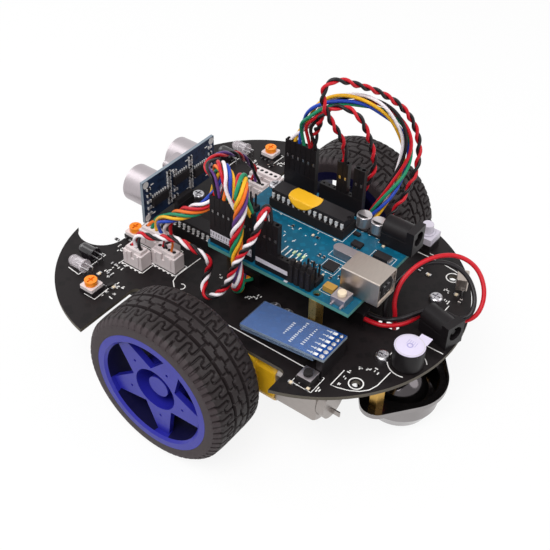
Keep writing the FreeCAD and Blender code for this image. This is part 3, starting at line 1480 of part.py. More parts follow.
def robot():
    nodes = {
        "chassis_board": chassis_board(),
        "controller_pillars": controller_pillars(),
        "underside_pillars": underside_pillars(),
        "screws_and_nuts": screws_and_nuts(),
        "controller_board": controller_board(),
        "digital_headers": header_strips(digital_rows, digital_row_counts, digital_column),
        "analog_headers": header_strips(analog_rows, analog_row_counts, analog_column),
        "digital_plugs": plug_rows(digital_plug_rows, digital_plug_counts, digital_column),
        "analog_plugs": plug_rows(analog_plug_rows, analog_plug_counts, analog_column),
        "usb_socket": usb_socket(),
        "controller_jack": controller_jack(),
        "chip_socket": chip_socket(),
        "microcontroller": microcontroller(),
        "controller_parts": controller_parts(),
        "reset_switch": reset_switch(),
        "reset_button": reset_button(),
        "user_switch": user_switch(),
        "user_button": user_button(),
        "power_switch": power_switch(),
        "power_plunger": power_plunger(),
        "trimmer_bases": trimmer_bases(),
        "obstacle_emitters": emitters(),
        "obstacle_receivers": receivers(),
        "remote_receiver": remote_receiver(),
        "buzzer": buzzer(),
        "charging_jack": charging_jack(),
        "radio_module": radio_module(),
        "radio_sleeve": radio_sleeve(),
        "deck_sockets": deck_sockets(),
        "sonar_board": sonar_board(),
        "sonar_transducers": sonar_transducers(),
        "wire_sockets_left": wire_sockets(left_wire_sockets, left_wire_socket_counts),
        "wire_sockets_right": wire_sockets(right_wire_sockets, right_wire_socket_counts),
        "caster_housing": caster_housing(),
        "caster_socket": caster_socket(),
        "caster_ball": caster_ball(),
        "battery_holder": battery_holder(),
        "battery_cells": battery_cells(),
        "sensor_bar": sensor_bar(),
    }
    for side in trimmer_places:
        nodes[f"trimmer_rotor_{side}"] = trimmer_rotor(side)
    nodes.update(sided("tyre", left_tyre()))
    nodes.update(sided("rim", left_rim()))
    nodes.update(sided("drive_shaft", left_shaft()))
    nodes.update(sided("gearbox", left_gearbox()))
    nodes.update(sided("motor", left_motor()))
    bracket = left_bracket()
    nodes["motor_brackets"] = group([bracket, mirrored(bracket)])
    nodes.update(cables())
    return nodes


def main():
    os.makedirs("parts", exist_ok=True)
    for name, shape in robot().items():
        if not shape.isValid():
            print(f"{name}: not valid")
        shape.exportStep(f"parts/{name}.step")
        box = shape.BoundBox
        print(
            f"{name}: {len(shape.Solids)} solids, {shape.Volume:.0f} mm3, "
            f"x {box.XMin:.1f} {box.XMax:.1f}, y {box.YMin:.1f} {box.YMax:.1f}, "
            f"z {box.ZMin:.1f} {box.ZMax:.1f}"
        )


main()
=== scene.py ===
"""The looks of the line follower robot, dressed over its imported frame.

Layouts are in millimetres and become metres as each piece is made. +X is the robot's left
and -Y its driving direction.
"""
import math
import random

import bpy
import numpy as np
from mathutils import Matrix, Vector


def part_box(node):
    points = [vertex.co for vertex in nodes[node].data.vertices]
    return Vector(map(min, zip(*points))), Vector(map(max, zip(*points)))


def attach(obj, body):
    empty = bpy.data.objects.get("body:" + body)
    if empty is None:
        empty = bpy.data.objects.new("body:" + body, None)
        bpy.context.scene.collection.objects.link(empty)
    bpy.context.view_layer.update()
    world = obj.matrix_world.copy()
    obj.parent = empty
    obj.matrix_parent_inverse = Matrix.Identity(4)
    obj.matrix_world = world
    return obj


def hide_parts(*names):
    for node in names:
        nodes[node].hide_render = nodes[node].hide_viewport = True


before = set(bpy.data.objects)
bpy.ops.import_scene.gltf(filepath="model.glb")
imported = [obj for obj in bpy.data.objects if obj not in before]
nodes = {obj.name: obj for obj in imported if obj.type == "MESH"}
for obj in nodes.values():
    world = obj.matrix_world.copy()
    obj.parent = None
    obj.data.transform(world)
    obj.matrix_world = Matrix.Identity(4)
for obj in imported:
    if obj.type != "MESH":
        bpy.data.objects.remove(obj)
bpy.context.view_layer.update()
scene = bpy.context.scene
UP = Vector((0, 0, 1))


def box_of(node):
    """Lowest and highest corner of a node, in millimetres."""
    low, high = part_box(node)
    return low * 1000, high * 1000


def top_near(node, x, y, reach):
    """The highest point of a node within reach of a place seen from above."""
    found = [v.co * 1000 for v in nodes[node].data.vertices]
    return max(p.z for p in found if abs(p.x - x) < reach and abs(p.y - y) < reach)


deck = box_of("chassis_board")[1].z
board_low, board_high = box_of("controller_board")
board_top = board_high.z
header_top = box_of("digital_headers")[1].z
plug_top = box_of("digital_plugs")[1].z
pitch = 2.54  # of the pin strips
digital_x, analog_x = 24.13, -24.13  # lines of the controller's pin strips
wire_sockets = [  # x, y, ways
    (36.1, -45.2, 3), (29.3, -34.8, 4), (22.9, -44.8, 6), (-29.3, -34.8, 4), (-37.8, -35.2, 5),
]
socket_pitch = 2.5
driver_at = (7.6, -37.6)
buzzer_at = (17, 70.8)
ball_at = Vector((0, 62, 9))
sonar_rear = -52.6  # rear face of the upright board
sonar_base = deck + 8.5  # its lower edge
can_front = sonar_rear - 1.4 - 12


# ---- finishes
def srgb(red, green, blue):
    """Linear colour of a display colour given as 0 to 255."""
    return tuple(
        c / 255 / 12.92 if c < 11 else ((c / 255 + 0.055) / 1.055) ** 2.4 for c in (red, green, blue)
    )


def shaded(colour, factor):
    """A linear colour made lighter or darker, with its alpha."""
    return tuple(min(1, c * factor) for c in colour) + (1,)


def added(tree, kind, **values):
    """A new shader node with its input values; _ stands for the space in an input's name."""
    made = tree.nodes.new("ShaderNode" + kind)
    for socket, value in values.items():
        made.inputs[socket.replace("_", " ")].default_value = value
    return made


def blend(tree, factor, low=(0, 0, 0, 1), high=(0, 0, 0, 1)):
    """A node that mixes two colours by a factor; 6 and 7 are its colour inputs and 2 its output."""
    made = tree.nodes.new("ShaderNodeMix")
    made.data_type = "RGBA"
    made.inputs[6].default_value = low
    made.inputs[7].default_value = high
    tree.links.new(factor, made.inputs[0])
    return made


def finish(
    name, colour, rough=0.5, metal=0, vary=0.12, grain=350, bump=0.15, depth=0.04,
    stretch=(1, 1, 1), edge=0, gloss=0.5, coat=0, alpha=1,
):
    """A finish with broad colour variation, fine roughness variation and a soft relief."""
    made = bpy.data.materials.new(name)
    made.use_nodes = True
    tree = made.node_tree
    link = tree.links.new
    shader = tree.nodes["Principled BSDF"]
    for socket, value in (
        ("Metallic", metal), ("Specular IOR Level", gloss), ("Alpha", alpha),
        ("Coat Weight", coat), ("Coat Roughness", 0.12),
    ):
        shader.inputs[socket].default_value = value
    scale = added(tree, "Mapping", Scale=stretch)
    link(added(tree, "TexCoord").outputs["Object"], scale.inputs["Vector"])
    broad, fine = (added(tree, "TexNoise", Scale=size, Detail=4) for size in (grain, grain * 7))
    for noise in (broad, fine):
        link(scale.outputs["Vector"], noise.inputs["Vector"])
    tint = blend(tree, broad.outputs["Fac"], shaded(colour, 1 - vary), shaded(colour, 1 + vary))
    link(tint.outputs[2], shader.inputs["Base Color"])
    spread = added(tree, "MapRange", To_Min=max(0.02, rough - 0.1), To_Max=min(1, rough + 0.1))
    link(fine.outputs["Fac"], spread.inputs["Value"])
    link(spread.outputs["Result"], shader.inputs["Roughness"])
    relief = added(tree, "Bump", Strength=bump, Distance=depth / 1000)
    link(fine.outputs["Fac"], relief.inputs["Height"])
    link(relief.outputs["Normal"], shader.inputs["Normal"])
    if edge:
        bevel = added(tree, "Bevel", Radius=edge / 1000)
        bevel.samples = 4
        link(bevel.outputs["Normal"], relief.inputs["Normal"])
    return made


def etched(name, colour, trace, size=210, **more):
    """A solder mask with the faint blocky pattern of the copper tracks beneath it."""
    made = finish(name, srgb(*colour), **more)
    tree = made.node_tree
    link = tree.links.new
    base = tree.nodes["Principled BSDF"].inputs["Base Color"]
    tint = base.links[0].from_node
    cells = added(tree, "TexVoronoi", Scale=size)
    cells.distance = "MANHATTAN"
    link(added(tree, "TexCoord").outputs["Object"], cells.inputs["Vector"])
    step = added(tree, "MapRange", From_Min=0.52, From_Max=0.56)
    link(cells.outputs["Distance"], step.inputs["Value"])
    mixed = blend(tree, step.outputs["Result"], high=srgb(*trace) + (1,))
    link(tint.outputs[2], mixed.inputs[6])
    link(mixed.outputs[2], base)
    looks[name] = made


def look(name, *colour, **more):
    """Adds a plain finish, by its display colour, to the looks."""
    looks[name] = finish(name, srgb(*colour), **more)


looks = {}  # by name
etched("mask_black", (21, 18, 19), (27, 23, 24), rough=0.4, vary=0.08, bump=0.1, gloss=0.14)
look("board_edge", 78, 72, 62, rough=0.75, stretch=(1, 1, 6), bump=0.4)
etched("mask_teal", (8, 94, 122), (5, 82, 108), size=330, rough=0.38, vary=0.08, gloss=0.25)
look("teal_edge", 70, 128, 122, rough=0.6, stretch=(1, 1, 6), bump=0.3)
etched("mask_blue", (19, 30, 52), (27, 42, 68), rough=0.38, size=420, gloss=0.25)
etched("mask_radio", (22, 70, 138), (17, 60, 124), rough=0.4, size=380, gloss=0.2)
look("blue_edge", 120, 130, 140, rough=0.6, bump=0.3)
look("black_plastic", 22, 19, 21, rough=0.4, vary=0.2, edge=0.15, gloss=0.2)
look("black_dull", 27, 24, 25, rough=0.6, vary=0.15, edge=0.1, gloss=0.2)
look("chip_black", 30, 27, 29, rough=0.52, vary=0.16, bump=0.35, edge=0.12, gloss=0.22)
# dark pins, and the painted highlight stripes on the header posts
look("pin_dark", 70, 64, 64, rough=0.35, metal=0.8, vary=0.15)
look("leg_pale", 214, 212, 212, rough=0.4, metal=0.25, vary=0.06)
look("grey_label", 190, 186, 194, rough=0.6, vary=0.05)
look("white_ink", 226, 224, 222, rough=0.6, vary=0.05)
look("socket_white", 214, 203, 203, rough=0.42, vary=0.05, edge=0.18, gloss=0.4)
look("cream", 224, 206, 178, rough=0.35, vary=0.06)
look("pale_label", 212, 204, 226, rough=0.5, vary=0.05, gloss=0.25, grain=700)
look("orange", 243, 136, 22, rough=0.36, vary=0.08, edge=0.15)
look("sticker", 228, 172, 22, rough=0.45, vary=0.05, coat=0.15)
look("gold", 214, 172, 92, rough=0.28, metal=1, vary=0.08)
look("brass", 206, 164, 88, rough=0.3, metal=1, vary=0.1, edge=0.15)
look("tin", 206, 204, 206, rough=0.3, metal=1, vary=0.08)
look("shell_metal", 178, 168, 160, rough=0.34, metal=1, stretch=(1, 8, 1), vary=0.1, edge=0.2)
look("can_metal", 178, 170, 174, rough=0.36, metal=1, stretch=(1, 6, 1), vary=0.08, edge=0.2)
look("cap_metal", 205, 200, 202, rough=0.32, metal=0.9, stretch=(1, 1, 7), vary=0.08)
look("mesh_metal", 120, 116, 118, rough=0.5, metal=0.8, grain=900, bump=0.9, depth=0.2)
look("screw_steel", 186, 184, 188, rough=0.3, metal=1, edge=0.2)
look("chrome", 150, 146, 146, rough=0.2, metal=1, vary=0.1, grain=90, bump=0.05, edge=0.3)
# painted shade and reflection: dark steel for the caster's socket, the inside of its bowl and its flange top
look("chrome_shade_and_reflection", 78, 74, 76, rough=0.13, metal=0.95, vary=0.15, grain=90, bump=0.05)
look("ball_steel", 188, 186, 188, rough=0.1, metal=1, vary=0.05, bump=0.03)
look("motor_steel", 164, 157, 153, rough=0.34, metal=1, stretch=(9, 1, 9), edge=0.2)
look("aluminium", 188, 188, 192, rough=0.38, metal=1, stretch=(1, 7, 1), edge=0.2)
look("yellow", 226, 180, 34, rough=0.4, vary=0.07, edge=0.25, bump=0.2)
look("rim_blue", 34, 34, 142, rough=0.34, vary=0.08, grain=60, gloss=0.35, bump=0)
# painted shade: a darker blue for the rims' inner faces, where shade falls behind the spokes
look("rim_painted_shade", 15, 14, 52, rough=0.45, vary=0.15, grain=120, gloss=0.15)
look("rubber", 35, 29, 30, rough=0.54, vary=0.2, grain=160, bump=0.35, gloss=0.25)
look("sidewall", 56, 48, 50, rough=0.58, grain=120, bump=0.4, gloss=0.22)
look("shaft_white", 226, 224, 216, rough=0.45, vary=0.05, edge=0.15)
look("lens_clear", 240, 230, 236, rough=0.06, vary=0.03, gloss=0.8, coat=1, alpha=0.32, bump=0)
look("lens_dark", 24, 20, 24, rough=0.14, vary=0.08, gloss=0.7, edge=0.2)
look("sleeve", 150, 176, 214, rough=0.16, vary=0.05, gloss=0.3, alpha=0.12, bump=0.3, grain=120)
look("cell_wrap", 30, 92, 92, rough=0.3, vary=0.06, coat=0.4)
look("switch_grey", 194, 188, 200, rough=0.35, vary=0.05, edge=0.2, gloss=0.4)
look("faint_print", 170, 162, 206, rough=0.5, vary=0.1)
look("strap_yellow", 222, 172, 30, rough=0.14, vary=0.08, gloss=0.7, alpha=0.68, bump=0.1)
look("fuse_gold", 196, 150, 70, rough=0.4, metal=0.4, vary=0.1)
look("lamp_green", 196, 214, 170, rough=0.3, vary=0.05)
for name, colour in {
    "red": (184, 20, 34), "black": (24, 20, 23), "white": (232, 224, 228), "yellow": (226, 170, 36),
    "orange": (222, 108, 34), "blue": (34, 66, 168), "green": (26, 128, 92), "purple": (88, 52, 118),
}.items():
    look("wire_" + name, *colour, rough=0.38, vary=0.07, grain=500, gloss=0.25, bump=0.2)


def paint(node, first, *rules):
    """Gives a node its looks; a face takes that of the first rule that fits its place."""
    mesh = nodes[node].data
    mesh.materials.clear()
    for name in (first, *(name for _, name in rules)):
        mesh.materials.append(looks[name])
    for face in mesh.polygons:
        at = face.center * 1000
        found = (i + 1 for i, (fits, _) in enumerate(rules) if fits(at, face.normal))
        face.material_index = next(found, 0)


# ---- forms
class Form:
    """The faces of one piece, in millimetres; a mark is a face's place in the piece's looks."""

    def __init__(self):
        self.points, self.faces, self.marks = [], [], []

    def add(self, points, faces, mark=0):
        """Adds faces that count from 0 in the points given with them."""
        base = len(self.points)
        self.points += [Vector(p) for p in points]
        self.faces += [tuple(base + i for i in face) for face in faces]
        self.marks += [mark] * len(faces)

    def block(self, centre, size, mark=0, turn=0, tilt=0):
        """A box with chamfered upright edges."""
        x, y, z = (s / 2 for s in size)
        cut = 0.12 * min(x, y)
        ring = [(x - cut, -y), (x, cut - y), (x, y - cut), (x - cut, y)]
        ring += [(-a, -b) for a, b in ring]
        turned = Matrix.Rotation(math.radians(turn), 3, "Z") @ Matrix.Rotation(math.radians(tilt), 3, "X")
        points = [turned @ Vector((a, b, level)) + Vector(centre) for level in (-z, z) for a, b in ring]
        sides = [(i, (i + 1) % 8, (i + 1) % 8 + 8, i + 8) for i in range(8)]
        self.add(points, sides + [tuple(range(7, -1, -1)), tuple(range(8, 16))], mark)

    def strip(self, line, width, level, mark=0, thick=0.03):
        """A thin painted line on a level, through points x, y."""
        points = [Vector((*p, level)) for p in line]
        sides = []
        for i in range(len(points)):
            ahead = points[min(i + 1, len(points) - 1)] - points[max(i - 1, 0)]
            sides.append(UP.cross(ahead).normalized() * (width / 2))
        ring = [[p - s, p + s, p + s + UP * thick, p - s + UP * thick] for p, s in zip(points, sides)]
        flat = [q for four in ring for q in four]
        faces = [(0, 1, 2, 3), tuple(4 * len(ring) - k for k in (1, 2, 3, 4))]
        for a in range(0, 4 * len(ring) - 4, 4):
            faces += [(a + k, a + 4 + k, a + 4 + (k + 1) % 4, a + (k + 1) % 4) for k in range(4)]
        self.add(flat, faces, mark)

    def arc(self, centre, radius, width, level, start=0, end=360, mark=0):
        """A painted arc between two angles in degrees."""
        count = max(8, int(abs(end - start) / 10))
        angles = [math.radians(start + (end - start) * i / count) for i in range(count + 1)]
        line = [(centre[0] + radius * math.cos(a), centre[1] + radius * math.sin(a)) for a in angles]
        self.strip(line, width, level, mark)

    def tube(self, line, radius, mark=0, sides=10):
        """A round tube along points; radius is one number or one for each point."""
        rings = framed(line)
        radii = radius if hasattr(radius, "__len__") else [radius] * len(rings)
        points = []
        for (at, across, over), r in zip(rings, radii):
            for k in range(sides):
                a = 2 * math.pi * k / sides
                points.append(at + across * (r * math.cos(a)) + over * (r * math.sin(a)))
        faces = [tuple(range(sides - 1, -1, -1)), tuple(range(len(points) - sides, len(points)))]
        for i in range(len(rings) - 1):
            for k in range(sides):
                a, b = i * sides + k, i * sides + (k + 1) % sides
                faces.append((a, b, b + sides, a + sides))
        self.add(points, faces, mark)

    def dome(self, centre, radius, height, mark=0, sides=14, axis=UP):
        """A low round dome that stands on centre."""
        steps = [(1, 0), (0.92, 0.45), (0.7, 0.75), (0.38, 0.94), (0.05, 1)]
        line = [Vector(centre) + Vector(axis) * (height * h) for _, h in steps]
        self.tube(line, [radius * r for r, _ in steps], mark, sides)

    def chip_part(self, place, levels, sizes, reach, mark, turn):
        """A chip resistor or capacitor, turned by 0 or 90 degrees, with its two metal ends."""
        x, y = place
        self.block((x, y, levels[0]), sizes[0], mark, turn)
        for k in (-reach, reach):
            dx, dy = (0, k) if turn else (k, 0)
            self.block((x + dx, y + dy, levels[1]), sizes[1], 1, turn)

    def piece(self, name, slot, finishes, body="chassis", bevel=0, smooth=35):
        """Makes the piece in metres, with its looks, and lets it ride on a body; slot is not used."""
        mesh = bpy.data.meshes.new(name)
        mesh.from_pydata([p / 1000 for p in self.points], [], self.faces)
        for one in finishes.split():
            mesh.materials.append(looks[one])
        mesh.polygons.foreach_set("material_index", self.marks)
        mesh.polygons.foreach_set("use_smooth", [True] * len(self.faces))
        mesh.set_sharp_from_angle(angle=math.radians(smooth))
        mesh.update()
        made = bpy.data.objects.new(name, mesh)
        scene.collection.objects.link(made)
        if bevel:
            rounding = made.modifiers.new("rounding", "BEVEL")
            rounding.width = bevel / 1000
            rounding.segments = 2
            rounding.limit_method = "ANGLE"
        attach(made, body)
        return made


def framed(line):
    """Each point of a line with two directions across it that don't twist along the way."""
    points = [Vector(p) for p in line]
    last = len(points) - 1
    ways = [(points[min(i + 1, last)] - points[max(i - 1, 0)]).normalized() for i in range(last + 1)]
    across = ways[0].orthogonal().normalized()
    rings = []
    for point, way in zip(points, ways):
        across = (across - way * across.dot(way)).normalized()
        rings.append((point, across, way.cross(across)))
    return rings


# ---- view and light
camera = bpy.data.objects.new("camera", bpy.data.cameras.new("camera"))
camera.data.sensor_width = 36
camera.data.lens = 62.18
camera.data.clip_start = 0.01
camera.matrix_world = Matrix((
    (-0.59518, -0.52196, 0.61100, 0.24235),
    (0.80324, -0.40899, 0.43305, 0.16976),
    (0.02386, 0.74852, 0.66268, 0.30050),
    (0, 0, 0, 1),
))
scene.collection.objects.link(camera)
scene.camera = camera
scene.view_settings.view_transform = "Standard"


def studio():
    """A white surround for the view and for gloss, over a dimmer light, and three soft lamps."""
    world = bpy.data.worlds.new("studio")
    scene.world = world
    world.use_nodes = True
    tree = world.node_tree
    light = tree.nodes["Background"]
    light.inputs["Color"].default_value = (1, 1, 1, 1)
    light.inputs["Strength"].default_value = 0.38
    white = added(tree, "Background", Color=(1, 1, 1, 1))
    shade_by(tree, seen_by(tree), light, white, "World Output")
    lamp("key", (0.45, 0.1, 0.75), 0.5, 5.6)
    lamp("fill", (-0.35, 0.55, 0.6), 0.6, 2.6)
    lamp("front", (0.1, -0.7, 0.5), 0.6, 2.4)


def seen_by(tree):
    """1 for rays from the view, in gloss and through glass, and 0 for the rest."""
    path = tree.nodes.new("ShaderNodeLightPath")
    total = path.outputs["Is Camera Ray"]
    for name in ("Is Glossy Ray", "Is Transmission Ray"):
        most = tree.nodes.new("ShaderNodeMath")
        most.operation = "MAXIMUM"
        tree.links.new(total, most.inputs[0])
        tree.links.new(path.outputs[name], most.inputs[1])
        total = most.outputs[0]
    return total


def shade_by(tree, factor, one, other, output):
    """Sends a mix of two shaders, by a factor, to an output."""
    mix = tree.nodes.new("ShaderNodeMixShader")
    for i, source in enumerate((factor, one.outputs[0], other.outputs[0])):
        tree.links.new(source, mix.inputs[i])
    tree.links.new(mix.outputs[0], tree.nodes[output].inputs["Surface"])


def lamp(name, place, size, power):
    """A round lamp that points at the middle of the robot."""
    light = bpy.data.lights.new(name, "AREA")
    light.shape = "DISK"
    light.size = size
    light.energy = power
    made = bpy.data.objects.new(name, light)
    made.location = place
    made.rotation_euler = (Vector((0, 0, 0.05)) - Vector(place)).to_track_quat("-Z", "Y").to_euler()
    scene.collection.objects.link(made)


def floor():
    """A wide pale floor that keeps a faint shadow."""
    mesh = bpy.data.meshes.new("floor")
    mesh.from_pydata([(-4, -4, 0), (4, -4, 0), (4, 4, 0), (-4, 4, 0)], [], [(0, 1, 2, 3)])
    made = bpy.data.objects.new("floor", mesh)
    scene.collection.objects.link(made)
    paper = finish("paper", (0.86, 0.86, 0.86), rough=0.9, vary=0.01)
    mesh.materials.append(paper)
    tree = paper.node_tree
    glow = added(tree, "Emission", Strength=1)
    share = tree.nodes.new("ShaderNodeMath")
    share.operation = "MULTIPLY"
    share.inputs[1].default_value = 0.88  # the rest keeps the shadow
    tree.links.new(seen_by(tree), share.inputs[0])
    shade_by(tree, share.outputs[0], tree.nodes["Principled BSDF"], glow, "Material Output")


# ---- cables
cable_step = 0.8  # between the points of a drawn cable


def route_curve(name, route):
    """A smooth line through the space of a route's corners."""
    curve = bpy.data.curves.new(name, "CURVE")
    curve.dimensions = "3D"
    curve.resolution_u = 16
    spline = curve.splines.new("NURBS")
    spline.points.add(len(route) - 1)
    for point, place in zip(spline.points, route):
        point.co = (*(Vector(place) / 1000), 1)
    spline.order_u = 3
    spline.use_endpoint_u = True
    return curve


def line_of(curve, step):
    """Points about a step apart along a curve that has no thickness yet, in millimetres."""
    holder = bpy.data.objects.new("line", curve)
    mesh = bpy.data.meshes.new_from_object(holder)
    raw = np.array([v.co for v in mesh.vertices]) * 1000
    bpy.data.objects.remove(holder)
    bpy.data.meshes.remove(mesh)
    along = np.concatenate([[0], np.cumsum(np.linalg.norm(np.diff(raw, axis=0), axis=1))])
    at = np.linspace(0, along[-1], max(3, round(along[-1] / step) + 1))
    return [Vector([np.interp(a, along, raw[:, k]) for k in range(3)]) for a in at], float(along[-1])


def strands(line, wires, twist, gather, start=None, end=None, fans=(12, 8), loose=0):
    """The path of each wire of a twisted bundle.

    One turn takes the length twist, gather is the distance from the middle, and the wires spread
    over the lengths fans to reach their places in start and end.
    """
    rings = framed(line)
    step = (line[-1] - line[-2]).length
    total = step * (len(line) - 1)
    paths = []
    for k in range(len(wires)):
        phase = 2 * math.pi * k / len(wires)
        path = []
        for i, (point, across, over) in enumerate(rings):
            s = i * step
            angle = phase + 2 * math.pi * s / twist
            reach = gather + loose * (0.5 + 0.5 * math.sin(s / 6.1 + 2.1 * k))  # each wanders by itself
            path.append(point + across * (reach * math.cos(angle)) + over * (reach * math.sin(angle)))
        for ends, near, spread, at in ((start, 0, fans[0], 0), (end, -1, fans[1], total)):
            if ends is None:
                continue
            shift = Vector(ends[k]) - path[near]
            for i in range(len(path)):
                t = min(1, abs(i * step - at) / spread)
                path[i] = path[i] + shift * (1 - t * t * (3 - 2 * t))
        paths.append(path)
    return paths


def bundle(
    name, node, route, diameter, wires, wire, twist, gather, start=None, end=None,
    fans=(12, 8), loose=0, with_pieces=(),
):
    """A cable of twisted wires whose ends fan out to their own places."""
    wires = wires.split()
    line, length = line_of(route_curve(name, route), cable_step)
    limit = 0.65 * diameter + 1.8 - wire / 2  # how far a wire may stray and still be in the cable
    core, fan = Form(), Form()
    for mark, path in enumerate(strands(line, wires, twist, gather, start, end, fans, loose)):
        away = [min((p - q).length for q in line[max(0, i - 4):i + 5]) for i, p in enumerate(path)]
        half = len(path) // 2
        first = max([i + 1 for i in range(half) if away[i] > limit], default=0)
        last = min([i - 1 for i in range(half, len(path)) if away[i] > limit], default=len(path) - 1)
        core.tube(path[first:last + 1], wire / 2, mark)
        if first > 0:
            fan.tube(path[:first + 1], wire / 2, mark)
        if last < len(path) - 1:
            fan.tube(path[last:], wire / 2, mark)
    finishes = " ".join("wire_" + wire_colour for wire_colour in wires)
    made = core.piece(name, "mixed_wire", finishes, smooth=60)
    with_pieces = list(with_pieces)
    if fan.faces:
        with_pieces.append(fan.piece(name + "_ends", "mixed_wire", finishes, smooth=60))
    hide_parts(node)


def single(name, node, route, diameter, colour):
    """One smooth round wire."""
    curve = route_curve(name, route)
    line, length = line_of(curve, cable_step)
    curve.bevel_depth = diameter / 2 / 1000
    curve.bevel_resolution = 5
    curve.use_fill_caps = True
    curve.materials.append(looks["wire_" + colour])
    made = bpy.data.objects.new(name, curve)
    scene.collection.objects.link(made)
    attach(made, "chassis")
    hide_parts(node)


def in_row(x, first, step, count, level):
    """Places at equal steps along y."""
    return [(x, first + i * step, level) for i in range(count)]


